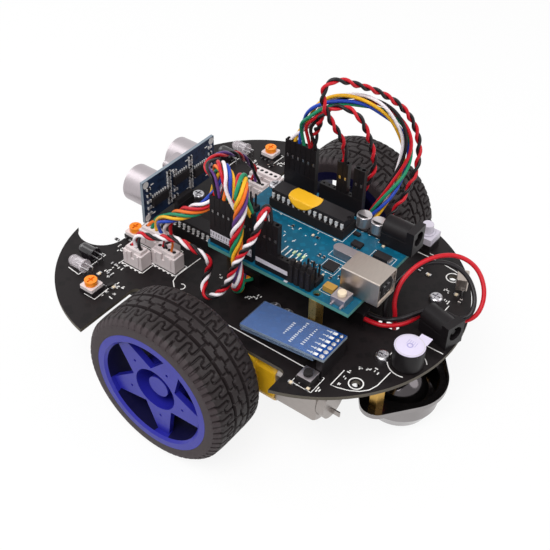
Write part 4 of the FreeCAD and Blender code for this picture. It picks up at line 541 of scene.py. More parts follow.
def cables():
    """Every cable, with its route from one end to the other."""
    single("battery_lead_red", "battery_leads", [
        (2, 56.5, 40), (2, 56.5, 48.5), (1, 54, 56.5), (-5, 53.5, 63), (-14, 57, 68),
        (-22, 65, 70), (-25, 74, 66.5), (-21, 81, 60), (-14.5, 82.5, 53),
        (-11, 77, 48.6), (-11.5, 69.5, 48), (-7.5, 63, 48.2), (0.5, 61.5, 48.5),
        (7, 58, 49.5), (9.6, 52.5, 49), (9.6, 47.26, 49),
    ], 1.8, "red")
    single("battery_lead_black", "battery_leads", [
        (3.8, 53, 40), (3.8, 53, 48), (3, 51.5, 54), (-3, 51, 60), (-12, 54.5, 65),
        (-19.5, 63, 67), (-22, 72, 63.5), (-18.5, 78.5, 57.5), (-12.5, 80.5, 53.5),
        (-10, 76.5, 51), (-11, 70.5, 50.6), (-8, 64.5, 50.8), (-1, 61.5, 51.2),
        (5.5, 58.5, 52), (7.4, 52.5, 50.2), (7.4, 47.26, 50.2),
    ], 1.8, "black")
    sunk = plug_top - 2
    far = box_of("analog_plugs")
    far_x = (far[0].x + far[1].x) / 2
    near = box_of("digital_plugs")
    near_x = (near[0].x + near[1].x) / 2

    def in_pairs(first):
        """Six wires in three plugs, two by two."""
        return [(near_x + 0.35 * (-1) ** i, first + pitch * (i // 2), sunk) for i in range(6)]

    bundle("motor_lead_first", "motor_leads", [
        (-24.13, 12.67, 88.05), (-24.13, 12.67, 93.5), (-20.5, 12.3, 101), (-16.6, 9, 109.5),
        (-14, 6.5, 118), (-14.5, 7.3, 125), (-19, 10.3, 126), (-25.5, 13.8, 122),
        (-34.5, 19, 117), (-44, 26.5, 107.5), (-48, 31.5, 95), (-46, 33.8, 83.5),
        (-39.5, 33.5, 73.5), (-33.5, 31, 65), (-29, 28, 57), (-24, 25.5, 50.5),
        (-16.05, 25.5, 50.5),
    ], 2.6, "red black", 1.35, 10, 0.66, in_row(far_x, 11.4, pitch, 2, sunk), fans=(8, 6))
    bundle("motor_lead_second", "motor_leads", [
        (-24.13, -2.6, 88.05), (-24.13, -2.6, 94), (-20, 2.5, 103), (-17.3, 4.3, 109),
        (-18.7, 7.9, 113.4), (-21.4, 13.2, 114.2), (-22.5, 18.5, 111.5), (-24.5, 21, 105),
        (-27, 22.3, 97.5), (-28.5, 24, 89), (-28.2, 22, 80.5), (-28.6, 18.7, 72.5),
        (-29.5, 15.5, 64), (-27.5, 13.5, 56), (-22.5, 11.5, 51), (-16.05, 11.5, 51),
    ], 2.6, "red black", 1.35, 10, 0.66, in_row(far_x, -3.84, pitch, 2, sunk), fans=(10, 6))
    bundle(
        "header_harness_wires", "header_harness", [
            (-24.13, -8, 88.05), (-24, -7.8, 94), (-19.5, -2.2, 103.5), (-20.5, 2.5, 111),
            (-25, 9.5, 115), (-33, 17, 112.5), (-41, 23.5, 104.5), (-44.5, 28.5, 94),
            (-42.5, 29.5, 84), (-36.5, 28, 74.5), (-31.5, 25, 65.5), (-28.5, 21, 56.5),
            (-23.5, 18.5, 50), (-16.05, 18.5, 50),
        ], 4.4, "white yellow blue green red black", 1.4, 62, 1.45,
        in_row(far_x, -14, pitch, 6, sunk), in_row(-16, 14.75, 1.5, 6, 50), fans=(17, 9),
        loose=0.9,
    )
    bundle(
        "line_harness_wires", "line_harness", [
            (22.9, -44.8, 54.25), (22.9, -44.8, 58.2), (24, -40.6, 62.8), (24, -35.5, 67),
            (24, -29.8, 71.6), (24, -23.9, 75.8), (22.6, -18.6, 79.8), (19.9, -16.6, 84.5),
            (19.2, -15.9, 91), (19, -15.5, 97.5), (21.6, -11, 100.5), (24.13, -6.4, 97.5),
            (24.13, -6.4, 88.05),
        ], 4.4, "orange green yellow blue white red", 1.4, 34, 1.45,
        in_row(22.9, -51.05, 2.5, 6, 53.6),
        in_pairs(-8.92),
        fans=(15, 9), loose=0.6,
    )
    bundle("right_lead_wires", "right_lead", [
        (-29.3, -34.8, 54.25), (-29.3, -34.8, 60), (-25, -34.7, 66.5), (-18, -32.7, 74),
        (-8, -28.7, 83), (4, -25, 91), (14, -22.5, 95.5), (21.8, -20.2, 96.5),
        (24.13, -12.6, 95.5), (24.13, -12.6, 88.05),
    ], 2.8, "red purple black", 1.25, 26, 0.74, in_row(-29.3, -37.3, 2.5, 3, 53.6),
        [(near_x, -14, sunk), (near_x, -11.46, sunk), (near_x + 0.3, -11.9, sunk)], fans=(8, 7))
    bundle(
        "front_harness_wires", "front_harness", [
            (24.13, -0.6, 88.05), (24.13, -0.6, 94.5), (24.3, -0.4, 101.3), (27.6, 2, 104),
            (31, 4.5, 101.3), (31, 3.9, 93), (31, 2.5, 83.8), (31, 1.7, 74.8), (31.2, 2.3, 67.6),
            (31.5, 3.5, 61.2), (30.5, 2.6, 54.5), (25.5, -3, 49.3), (18.05, -3, 49.3),
        ], 4.2, "red white purple orange yellow green", 1.45, 27, 1.4,
        in_pairs(-1.3),
        in_row(18, -6, 1.2, 6, 49.3), fans=(9, 8), loose=0.5,
    )
    branch_line = line_of(route_curve("branch", [
        (29.3, -34.8, 54.25), (29.3, -34.8, 57.4), (30.2, -33, 60.2), (30.4, -30, 62),
        (29.7, -25, 63.2), (29.1, -19.5, 62.2),
    ]), cable_step)[0]
    branch = Form()
    colours = "wire_red wire_black wire_orange"
    paths = strands(branch_line, colours.split(), 9, 0.52, in_row(29.3, -37.3, 2.5, 3, 53.6))
    for mark, path in enumerate(paths):
        branch.tube(path, 0.5, mark)
    branch_piece = branch.piece("sensor_branch_wires", "mixed_wire", colours, smooth=60)
    bundle("sensor_lead_wires", "sensor_leads", [
        (36.1, -45.2, 54.25), (36.1, -45.2, 58.4), (34.6, -44, 61), (33.8, -40, 60.6),
        (33, -36, 61.8), (32.3, -31, 64), (31.8, -25, 65), (31.3, -18.5, 63.8),
        (30.4, -12, 61.8), (29.4, -12.3, 57), (30.8, -13.5, 52), (34, -12.2, 49),
        (36.5, -8.5, 48.1), (36, -4, 51), (35, -0.5, 56), (34.6, 2, 62.5),
        (34.3, 3.8, 69.5), (33.8, 7.2, 77), (33, 11, 84.5), (32, 13, 91),
        (29.6, 12.7, 95.4), (26.2, 12, 95.9), (24.13, 11.65, 92.5), (24.13, 11.65, 88.05),
    ], 2.8, "red white black", 1.35, 11, 0.78, in_row(36.1, -47.7, 2.5, 3, 53.6),
        [(near_x, 10.38 + pitch * k / 2, sunk) for k in range(3)], fans=(6, 5),
        with_pieces=[branch_piece])


# ---- tyres
def sipe_lines(cell):
    """The fine cuts of one repeat of the tread: along the tread, across the tread."""
    hook = [
        (0.8, 4.4), (0.8, 7.4), (1.5, 8.1), (2.5, 8.1), (3.1, 7.4), (3.1, 6.1), (3.7, 5.5), (4.6, 5.5),
        (5.2, 6.1), (5.2, 10.8),
    ]
    lines = [hook, [(cell - a, -b) for a, b in hook]]
    lines += [[(1, 3.7), (1, 1.3)], [(4.2, -3.7), (4.2, -1.3)]]
    lines += [[(0, 0.45), (3, 0.45), (3, -0.45), (cell, -0.45), (cell, 0.45)]]
    lines += [[(2.6, 9.4), (2.6, 11.8)], [(cell - 2.6, -9.4), (cell - 2.6, -11.8)]]
    return lines


def tyre(side):
    """A tyre with hooked sipes, two grooves, notched shoulders and plain sidewalls."""
    low, high = box_of("tyre_" + side)
    middle, half = (low.x + high.x) / 2, (high.x - low.x) / 2
    centre_y, centre_z = (low.y + high.y) / 2, (low.z + high.z) / 2
    outer = (high.z - low.z) / 2
    repeats, columns, rows_across = 32, 704, 84
    cut_depth, groove_depth, notch_depth = 1.1, 1.6, 1.1
    along = outer * 2 * math.pi / columns * np.arange(columns)
    cell = outer * 2 * math.pi / repeats
    shoulder = 2.85
    tread_half = half - shoulder
    across = np.linspace(-tread_half, tread_half, rows_across)
    s, v = np.meshgrid(along % cell, across, indexing="ij")
    away = np.full(s.shape, 9.0)  # distance to the nearest fine cut
    for line in sipe_lines(cell):
        for (s0, v0), (s1, v1) in zip(line, line[1:]):
            for wrap in (-cell, 0, cell):
                ds, dv = s1 - s0, v1 - v0
                t = np.clip(((s - s0 - wrap) * ds + (v - v0) * dv) / (ds * ds + dv * dv), 0, 1)
                away = np.minimum(away, np.hypot(s - s0 - wrap - t * ds, v - v0 - t * dv))
    cut = np.clip((0.5 - away) / 0.3, 0, 1)
    groove = np.clip((0.7 - np.abs(np.abs(v) - 3.7)) / 0.3, 0, 1)
    depth = np.maximum(cut_depth * cut, groove_depth * groove)
    radius = outer - depth - 0.35 * (v / tread_half) ** 4
    notch_phase = (along / cell * 2) % 1
    # Shoulder and sidewall down to the bead: out from the tread's edge, and in from its radius.
    profile = [(0.75, -0.75), (1.6, -1.55), (2.3, -2.1), (2.75, -2.9), (shoulder, -4.2), (shoulder, -6.74)]
    profile += [(shoulder - 1.4, -6.74), (1.4, -8.5)]
    rows = []
    for sign in (-1, 1):
        edge = []
        for i, (out, drop) in enumerate(profile):
            phase = (notch_phase + (0.25 if sign > 0 else 0)) % 1
            lug = np.clip((0.37 - np.abs(phase - 0.5)) / 0.07, 0, 1)
            dip = (1 - lug) * (1 if i < 3 else 0)
            edge.append((sign * (tread_half + out), outer + drop - notch_depth * dip))
        rows.append(edge)
    levels = rows[0][::-1] + [(across[j], radius[:, j]) for j in range(rows_across)] + rows[1]
    angle = 2 * math.pi * np.arange(columns) / columns
    grid = np.zeros((len(levels), columns, 3))
    for j, (x, r) in enumerate(levels):
        grid[j, :, 0] = middle + x
        grid[j, :, 1] = centre_y + r * np.cos(angle)
        grid[j, :, 2] = centre_z + r * np.sin(angle)
    form = Form()
    form.points = [Vector(p) for p in grid.reshape(-1, 3)]
    count = len(levels)
    for j in range(count):
        a, b = j * columns, (j + 1) % count * columns
        form.faces += [(a + k, b + k, b + (k + 1) % columns, a + (k + 1) % columns) for k in range(columns)]
        on_tread = len(profile) - 2 <= j < count - len(profile)
        form.marks += [0 if on_tread else 1] * columns
    made = form.piece(
        "tyre_" + side + "_tread", "tyre_rubber", "rubber sidewall", "wheel_" + side, smooth=50,
    )
    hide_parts("tyre_" + side)


# ---- chassis dressing
def centred(count, step):
    """Offsets of a row of equal steps about its middle."""
    return [(i - (count - 1) / 2) * step for i in range(count)]


def outline(form, centre, size, level, width=0.35, dashed=False):
    """A painted frame, with dashes along its +X side where asked."""
    x, y = centre
    dx, dy = size[0] / 2, size[1] / 2
    corners = [(x - dx, y - dy), (x + dx, y - dy), (x + dx, y + dy), (x - dx, y + dy)]
    for a, b in zip(corners, corners[1:] + corners[:1]):
        form.strip([a, b], width, level)
    if dashed:
        count = int(size[1] / 2.2)
        for i in range(count):
            at = y - dy + size[1] * (i + 0.5) / count
            form.strip([(x + dx + 0.5, at - 0.5), (x + dx + 0.5, at + 0.5)], 0.5, level)


def pads(form, places, level, seed, count=5, spread=2.6, turn=0):
    """Clusters of small painted bars, such as stand beside soldered parts."""
    chance = random.Random(seed)
    for x, y in places:
        for _ in range(count):
            dx, dy = chance.uniform(-spread, spread), chance.uniform(-spread, spread)
            size = chance.choice([(0.5, 1.3), (1.2, 0.5), (0.5, 0.6), (0.9, 0.4)])
            form.block((x + dx, y + dy, level + 0.02), (*size, 0.05), 0, turn)


def chassis_marks():
    """The painted lines, rings and frames on the chassis board."""
    level = deck + 0.005
    silk = Form()
    for line in (
        [(41.7, 4.3), (41.7, 50.3)],
        [(34, 54.4), (43, 54.4), (42.6, 57), (41.2, 61.2), (39.2, 64.4), (36.6, 66.7),
         (33, 67.9), (24.6, 68.3)],
        [(-1.7, 65), (-1.7, 74.9)], [(4.65, 71.3), (4.65, 79)], [(-12.6, 68.1), (-19.8, 68.1)],
        [(-41, 41.8), (-41, 46), (-40.9, 52.9), (-39.8, 60.4), (-37.6, 65.5)],
        [(-43.2, 41), (-43.2, 50.5)],
        [(15.8, -26.9), (32, -27.6), (35.6, -26.6), (38.1, -23.9)],
        [(56, -59), (40.6, -59), (40.6, -61)], [(55.3, -65.4), (56, -59)],
        [(-56, -59), (-40.6, -59), (-40.6, -61)],
        [(62.6, -49.2), (62.6, -43.6), (51.4, -43.9)], [(-62.6, -49.2), (-62.6, -43.6), (-51.4, -43.9)],
        [(27.5, -57.6), (27.5, -53.4), (19.6, -53.4)],
    ):
        silk.strip(line, 0.4, level)
    silk.arc((36.2, -21.9), 1.6, 0.4, level, 30, 220)
    silk.arc((36.9, 61.3), 2.7, 0.5, level)
    silk.arc((-35.6, 61.3), 2.7, 0.5, level)
    silk.arc(buzzer_at, 7.3, 0.4, level, 122, 378)
    for (x, y, _), length in zip(wire_sockets, (11.6, 14, 19, 14, 16.5)):
        outline(silk, (x, y), (7.2, length), level, dashed=x > 24)
    outline(silk, (46.1, 46.6), (8.6, 8.6), level, 0.3)
    pads(silk, [(33.3, 56.2), (37, 56.4), (40.6, 56.8)], level, 3, 2, 0.7)
    pads(silk, [(29, 57.8), (28, 61), (27, 64.4), (47.6, 52.4), (49.4, 44)], level, 5, 3, 1.1)
    pads(silk, [(33.6, -56.6), (42.3, -49.2), (47.6, -50.4), (57.2, -41.2), (51.8, -41.6)], level, 8, 9, 2.2)
    pads(silk, [(-33.6, -54.6), (-45.3, -44.2), (-49.6, -52.4), (-57.2, -40.2)], level, 9, 8, 2.2)
    pads(silk, [(22, -13), (25, 3), (22.4, 5.6), (-22, 66), (-27.5, 63)], level, 12, 4, 1.2)
    silk.piece("chassis_marks", "pcb_black", "white_ink")


def trimmer_parts():
    """The dark skirt, pads and small transistor of each trimmer, and chip parts on the deck."""
    parts = Form()
    for x, y in ((59, -48.5), (-59, -48.5), (23.6, -57.6)):
        inward = -1 if x > 30 else 1
        for side in (1, -1):
            parts.block((x + side * 3.38, y, deck + 0.75), (0.25, 6.9, 1.5))
            parts.block((x, y + side * 3.38, deck + 0.75), (6.9, 0.25, 1.5))
        for k in (-1, 0, 1):
            parts.block((x + inward * 3.9, y + k * 2.2, deck + 0.3), (1.3, 0.6, 0.5), 1)
        px, py = x + inward * 5.6, y + 4.6
        parts.block((px, py, deck + 0.9), (2.9, 1.4, 1.1), 0, 20 * inward)
        for k in (-0.95, 0.95):
            parts.block((px + k, py - 1.1, deck + 0.25), (0.45, 0.8, 0.3), 1, 20 * inward)
        parts.block((px, py + 1.1, deck + 0.25), (0.45, 0.8, 0.3), 1, 20 * inward)
    chance = random.Random(4)
    spots = [(50.8, -52.6), (48.4, -49), (53.2, -42.4), (43, -52), (-49, -50), (-47, -45.8),
             (-27.2, 67.4), (-24.6, 70.4), (-30.8, 52.6), (-31.6, 48.4), (30.6, -62), (14.6, -60.2),
             (8, -62.4), (-8, -61.8), (-14.6, -60.8), (49.8, 49.2), (51, 42.6)]
    for x, y in spots:
        turn = chance.choice([0, 90])
        mark = 2 if chance.random() < 0.4 else 0
        sizes = ((2, 1.2, 0.6), (0.5, 1.24, 0.64))
        parts.chip_part((x, y), (deck + 0.35, deck + 0.36), sizes, 0.85, mark, turn)
    parts.piece("deck_parts", "black_plastic", "chip_black tin cream", bevel=0.06)


def lamp_insides():
    """The reflector cup, post, lens and legs inside each clear lamp."""
    inside = Form()
    z = deck + 2.9
    for x in (53, -53):
        inside.block((x - 0.9, -61.4, z), (1.1, 3.4, 2.2))
        inside.block((x + 0.9, -60.8, z), (0.6, 3, 1.4))
        inside.dome((x - 0.6, -63, z), 1.1, 0.7, 0, axis=Vector((0, -1, 0)))
        for k in (-1, 1):
            inside.tube([(x + k * 1.27, -57.8, z), (x + k * 1.27, -60, z)], 0.28, 0, 8)
    inside.piece("lamp_insides", "screw_steel", "tin")


def solder_joints():
    """Solder cones under both boards, one for each leg."""
    joints = Form()
    below = Vector((0, 0, -1))
    bottom = board_low.z
    rows = [
        (x, first - pitch * i)
        for x, first, count in (
            (digital_x, 30.7, 10), (digital_x, 3.78, 8), (analog_x, 21.56, 8), (analog_x, -1.3, 6),
        )
        for i in range(count)
    ]
    rows += [(-11.67 + side * 3.81, 6.9 + off) for side in (1, -1) for off in centred(14, pitch)]
    for x, y in rows:
        joints.dome((x, y, bottom), 0.85, 0.9, 0, 8, below)
    under = box_of("chassis_board")[0].z
    legs = [
        (x, y + off) for x, y, count in wire_sockets for off in centred(count, socket_pitch)
    ]
    legs += [(35.2 + off, 49) for off in centred(6, pitch)]
    legs += [(-46.5 + dx, 42 + dy) for dx in (-2.2, 2.2) for dy in (-2, 0, 2)]
    legs += [(46.1 + dx, 46.6 + dy) for dx in (-3.2, 3.2) for dy in (-2.2, 2.2)]
    legs += [(buzzer_at[0] + dx, buzzer_at[1]) for dx in (-3, 3)] + [(-3.2, 69), (-1.6, 74.4), (-6.2, 73.4)]
    for lamp_x, y in ((53, -57.4), (45.3, -59)):
        legs += [(side * lamp_x + dx, y) for side in (1, -1) for dx in (-pitch / 2, pitch / 2)]
    x, y = driver_at
    legs += [(x + side * 3.8, y + off) for side in (1, -1) for off in centred(8, pitch)]
    for x, y in legs:
        joints.dome((x, y, under), 0.8, 0.8, 0, 8, below)
    joints.piece("solder_joints", "screw_steel", "tin")


def driver_chip():
    """The motor driver in its socket ahead of the controller."""
    form = Form()
    x, y = driver_at
    form.block((x, y, deck + 2.1), (9.6, 20.2, 4.2), 1)
    form.block((x, y, deck + 6.2), (6.6, 19.4, 3.2))
    form.tube([(x, y - 8.6, deck + 7.82), (x, y - 8.6, deck + 7.86)], 0.8, 2, 14)
    for off in centred(8, pitch):
        for side in (1, -1):
            at = y + off
            form.block((x + side * 3.55, at, deck + 5.7), (0.6, 1.3, 1.5), 2)
            form.block((x + side * 3.8, at, deck + 4.6), (0.35, 0.6, 1.2), 2)
            form.block((x + side * 3.9, at, deck + 4.22), (0.9, 1, 0.1), 2)
    form.piece("driver_chip", "black_plastic", "chip_black black_dull leg_pale", bevel=0.08)


def buzzer_label():
    """The border, the ring round the hole and the faint bars of the buzzer's paper dot."""
    form = Form()
    level = box_of("buzzer")[1].z + 0.01
    form.arc(buzzer_at, 5.35, 0.25, level)
    form.arc(buzzer_at, 1, 0.5, level, mark=1)
    for i in range(5):
        form.strip([(14.4, 69.2 + i * 0.85), (16.9 - 0.5 * (i % 2), 69.2 + i * 0.85)], 0.16, level, 1)
    form.piece("buzzer_label", "white_plastic", "cap_metal faint_print")


def motor_straps():
    """The clear yellow strap that holds each motor in its gearbox."""
    form = Form()
    count = 40
    for side in ("left", "right"):
        end = box_of("gearbox_" + side)[1].y
        low, high = box_of("motor_" + side)
        x, z = (low.x + high.x) / 2, (low.z + high.z) / 2
        flat, radius = (high.x - low.x) / 2, (high.z - low.z) / 2
        sections = []
        for more in (0.7, 0.12):  # the strap's outer and inner side
            for y in (end - 0.2, end + 9):
                ring = []
                for k in range(count):
                    a = 2 * math.pi * (k + 0.5) / count
                    across = (radius + more) * math.cos(a)
                    across = math.copysign(min(abs(across), flat + more), across)
                    ring.append((x + across, y, z + (radius + more) * math.sin(a)))
                sections.append(ring)
        faces = [(k, (k + 1) % count, (k + 1) % count + count, k + count) for k in range(count)]
        for a, b in ((0, 1), (3, 2), (1, 3), (2, 0)):
            form.add(sections[a] + sections[b], faces)
    form.piece("motor_straps", "yellow_plastic", "strap_yellow", smooth=40)


# ---- controller dressing
def spot(row, column):
    """Place on the controller board, measured from its rear and right edges."""
    return column - 26.67, 49.5 - row


def header_labels():
    """Pale labels on the near pin strips, with ticks on one, and four dark posts beside the other, each with
    a painted highlight stripe.
    """
    labels = Form()
    face = digital_x + 1.25
    for first, count, tall, level in ((20.54, 6, 1.9, 3.3), (3.78, 8, 3.4, 4.4)):
        length = count * pitch - 0.5
        middle = first - (count - 1) * pitch / 2
        labels.block((face + 0.06, middle, board_top + level), (0.12, length, tall))
        for i in range(2 * count if tall > 2 else 0):
            at = first + pitch / 4 - i * pitch / 2
            labels.block((face + 0.13, at, board_top + level + 0.5), (0.05, 0.3, 1.3), 1)
            labels.block((face + 0.13, at - 0.3, board_top + level - 1.1), (0.05, 0.7, 0.3), 1)
    for i in range(4):
        y = 30.7 - i * pitch
        labels.block((25.55, y, board_top + 4.2), (0.5, 1.5, 8.2), 1)
        labels.block((digital_x, y, header_top + 0.9), (1.7, 1.5, 1.8), 1)
        # painted highlight: a thin grey stripe down the outer face of each post
        labels.block((25.83, y, board_top + 5.4), (0.06, 0.4, 4.2), 2)
    labels.block((26.1, 21.4, board_top + 0.03), (0.9, 1.6, 0.05))
    labels.piece("header_labels", "black_plastic", "grey_label chip_black pin_dark")


def plug_contacts():
    """The crimps that show in the windows on both sides of each plug."""
    contacts = Form()
    level = header_top + 14 * 0.42 + 0.9
    for x, first, count in (
        (digital_x, 3.78, 8), (digital_x, 15.46, 4),
        (analog_x, -1.3, 6), (analog_x, 13.94, 2), (analog_x, 21.56, 2),
    ):
        for i in range(count):
            for side in (1, -1):
                contacts.block((x + side * 0.83, first - i * pitch, level), (0.12, 1, 1.5))
    contacts.piece("plug_contacts", "screw_steel", "tin")


def controller_marks():
    """Painted frames, ticks and solder pads on the controller board."""
    level = board_top + 0.004
    silk = Form()
    for row, column, dx, dy in ((42.6, 15, 11, 36.8), (6.6, 19.6, 6, 9.5), (18, 27.2, 6, 12.6),
                                (19.4, 35.6, 7, 7), (12.4, 46.6, 5, 6.4)):
        outline(silk, spot(row, column), (dx, dy), level, 0.18)
    for row in (16.4, 23.2):
        silk.arc(spot(row, 6.9), 3.9, 0.2, level, 20, 340)
    chance = random.Random(11)
    for _ in range(46):
        row, column = chance.uniform(6, 62), chance.uniform(21, 47)
        if 23 < row < 30 and column > 28:
            continue
        size = chance.choice([(0.9, 0.3), (0.3, 0.9), (0.5, 0.5), (1.4, 0.3)])
        silk.block((*spot(row, column), level + 0.02), (*size, 0.04))
    for i in range(5):
        place = spot(30.5 + i * 2.2, 38.5)
        silk.block((*place, level + 0.02), (6 - 1.1 * (i % 2), 0.5, 0.04))
    for i in range(9):
        place = spot(58.5 + (i % 3) * pitch, 40 + (i // 3) * pitch)
        silk.arc(place, 0.55, 0.35, level, mark=1)
    silk.piece("controller_marks", "pcb_teal", "white_ink tin")


def controller_small_parts():
    """Chip resistors, capacitors and lamps soldered to the controller board."""
    parts = Form()
    chance = random.Random(21)
    places = [(13, 31.5), (13, 34), (13.4, 38.6), (16, 41.2), (19, 41.8), (24.6, 33),
              (26.6, 33), (24.6, 38.4), (26.6, 38.4), (14, 23.4), (21, 23.6), (27, 21.6),
              (10, 27.4), (10, 29.6), (10, 13.2), (27.4, 10.2), (33, 24.6), (35.4, 24.6),
              (12.6, 11.8), (45, 24.8), (31, 41.8), (34, 41.8), (24, 42.4), (26.6, 42.4)]
    for row, column in places:
        turn = chance.choice([0, 90])
        mark = chance.choice([0, 0, 2])
        sizes = ((1.6, 0.85, 0.5), (0.4, 0.9, 0.56))
        parts.chip_part(spot(row, column), (board_top + 0.3,) * 2, sizes, 0.7, mark, turn)
    for row, column in ((30.6, 37.6), (32.8, 37.6), (35, 37.6), (28, 45.6)):
        parts.block((*spot(row, column), board_top + 0.35), (1.7, 0.9, 0.6), 3)
    x, y = spot(19.4, 35.6)
    for off in centred(8, 0.55):
        for side in (1, -1):
            parts.block((x + side * 2.6, y + off, board_top + 0.15), (0.5, 0.28, 0.25), 1)
            parts.block((x + off, y + side * 2.6, board_top + 0.15), (0.28, 0.5, 0.25), 1)
    x, y = spot(18.4, 18.9)
    for k in (-0.9, 0.9):
        for side in (1, -1):
            parts.block((x + side * 1.9, y + k, board_top + 0.2), (0.8, 0.5, 0.3), 1)
    parts.piece("controller_chips_small", "black_plastic", "chip_black tin cream lamp_green", bevel=0.05)


def usb_mouth():
    """The mouth of the square socket, a dark plate painted as the shade of its deep hollow, with its tongue,
    contacts and side springs.
    """
    form = Form()
    low, high = box_of("usb_socket")
    x, z, back = (low.x + high.x) / 2, (low.z + high.z) / 2, high.y - 0.76
    half, tall, cut = 4.3, 3.95, 1.8
    shape = [(-half, -tall), (half, -tall), (half, tall - cut), (half - cut, tall), (cut - half, tall)]
    shape.append((-half, tall - cut))
    # painted shade: a dark plate just inside the shell stands for the socket's deep, shaded hollow
    points = [(x + a, y, z + b) for y in (back, back + 0.12) for a, b in shape]
    sides = [(i, i + 6, (i + 1) % 6 + 6, (i + 1) % 6) for i in range(6)]
    form.add(points, sides + [(0, 1, 2, 3, 4, 5), (11, 10, 9, 8, 7, 6)], 0)
    form.block((x, back + 0.35, z - 0.1), (5.6, 0.5, 3.2), 1)
    for side in (1, -1):
        for level in (-1.75, 1.55):
            form.block((x + side * 1.25, back + 0.4, z + level), (1.1, 0.5, 0.14), 2)
        form.block((x + side * 4.6, back + 0.3, z - 0.6), (0.3, 0.6, 4), 2)
    form.piece("usb_mouth", "shell_metal", "black_dull chip_black tin", bevel=0.04)


chip_at = (42.6, 15)  # row and column of the microcontroller


def chip_legs():
    """The bent legs along both sides of the microcontroller."""
    x, top = spot(*chip_at)[0], box_of("microcontroller")[1].z
    legs = Form()
    for off in centred(14, pitch):
        for side in (1, -1):
            at = 6.9 + off
            legs.block((x + side * 3.78, at, top - 2.3), (0.55, 1.3, 1.7))
            legs.block((x + side * 4, at, top - 3.6), (0.35, 0.6, 1.2))
    legs.piece("chip_legs", "screw_steel", "leg_pale", bevel=0.08)


def chip_sticker():
    """A round paper dot that lies over the middle of the chip and bends over its edges."""
    form = Form()
    x, y = spot(*chip_at)
    top = box_of("microcontroller")[1].z + 0.05
    radius, half, droop = 7, 3.55, 0.85  # of the dot, of the chip's flat top, and per mm past it
    rings, sides = 14, 48
    middle = y - 3.3  # ahead of the chip's own middle
    points = [Vector((x, middle, top))]
    for i in range(1, rings + 1):
        for k in range(sides):
            a = 2 * math.pi * k / sides
            dx, dy = radius * i / rings * math.cos(a), radius * i / rings * math.sin(a)
            past = max(0, abs(dx) - half)
            side = math.copysign(min(abs(dx), half + past * 0.35), dx)
            points.append(Vector((x + side, middle + dy, top - past * droop)))
    faces = [(0, 1 + k, 1 + (k + 1) % sides) for k in range(sides)]
    for i in range(rings - 1):
        for k in range(sides):
            a, b = 1 + i * sides + k, 1 + i * sides + (k + 1) % sides
            faces.append((a, a + sides, b + sides, b))
    form.add(points, faces)
    made = form.piece("chip_sticker", "orange_plastic", "sticker")
    paper = made.modifiers.new("paper", "SOLIDIFY")
    paper.thickness = 0.00008
    paper.offset = 1


def capacitor_tops():
    """The bare top of each can with its dark segment."""
    form = Form()
    for row in (23.2, 16.4):
        x, y = spot(row, 6.9)
        z = top_near("controller_parts", x, y, 3.3)
        form.tube([(x, y, z - 0.3), (x, y, z + 0.02), (x, y, z + 0.1)], [3, 3, 2.7], 1, 28)
        ring = [math.radians(-65 + 130 * i / 12) for i in range(13)]
        segment = [(x + 2.6 * math.cos(a), y + 2.6 * math.sin(a), z + 0.11) for a in ring]
        upper = [(p[0], p[1], z + 0.14) for p in segment]
        count = len(segment)
        faces = [tuple(range(count - 1, -1, -1)), tuple(range(count, 2 * count))]
        faces += [(i, (i + 1) % count, (i + 1) % count + count, i + count) for i in range(count)]
        form.add(segment + upper, faces)
    form.piece("capacitor_tops", "can_aluminium", "chip_black cap_metal")


def radio_marks():
    """Pads, contact fingers and painted bars on the radio module's tilted board."""
    end_y, centre_x, tilt = 50.6, 35.2, 6.6
    lean = math.radians(tilt)
    level = deck + 8.5 + 0.4 + 1.2 / math.cos(lean)
    marks = Form()

    def at(x, back):
        """A point on the board's top, back from its pin end."""
        down = back * math.tan(lean) * 0.993
        return (centre_x + x, end_y - back * math.cos(lean), level - down + 0.03)

    def bar(x, back, width, length):
        marks.block(at(x, back), (width, length, 0.05), tilt=tilt)

    for x in centred(6, pitch):
        place = at(x, 1.65)
        marks.tube([place, (place[0], place[1], place[2] + 0.1)], 0.95, 1, 16)
        bar(x, 4.4, 1.3, 1.9)
        bar(x, 6.9, 0.35, 2.4)
        bar(x, 6.2, 1, 0.5)
    chance = random.Random(2)
    for back, count, reach in ((11.5, 9, 5.2), (16.2, 12, 6.2), (20.6, 7, 3.8)):
        for i in range(count):
            x = (i - (count - 1) / 2) * 2 * reach / count
            bar(x, back, 0.5, chance.choice([0.7, 1.2, 1.2]))
    marks.piece("radio_marks", "pcb_blue", "white_ink tin")


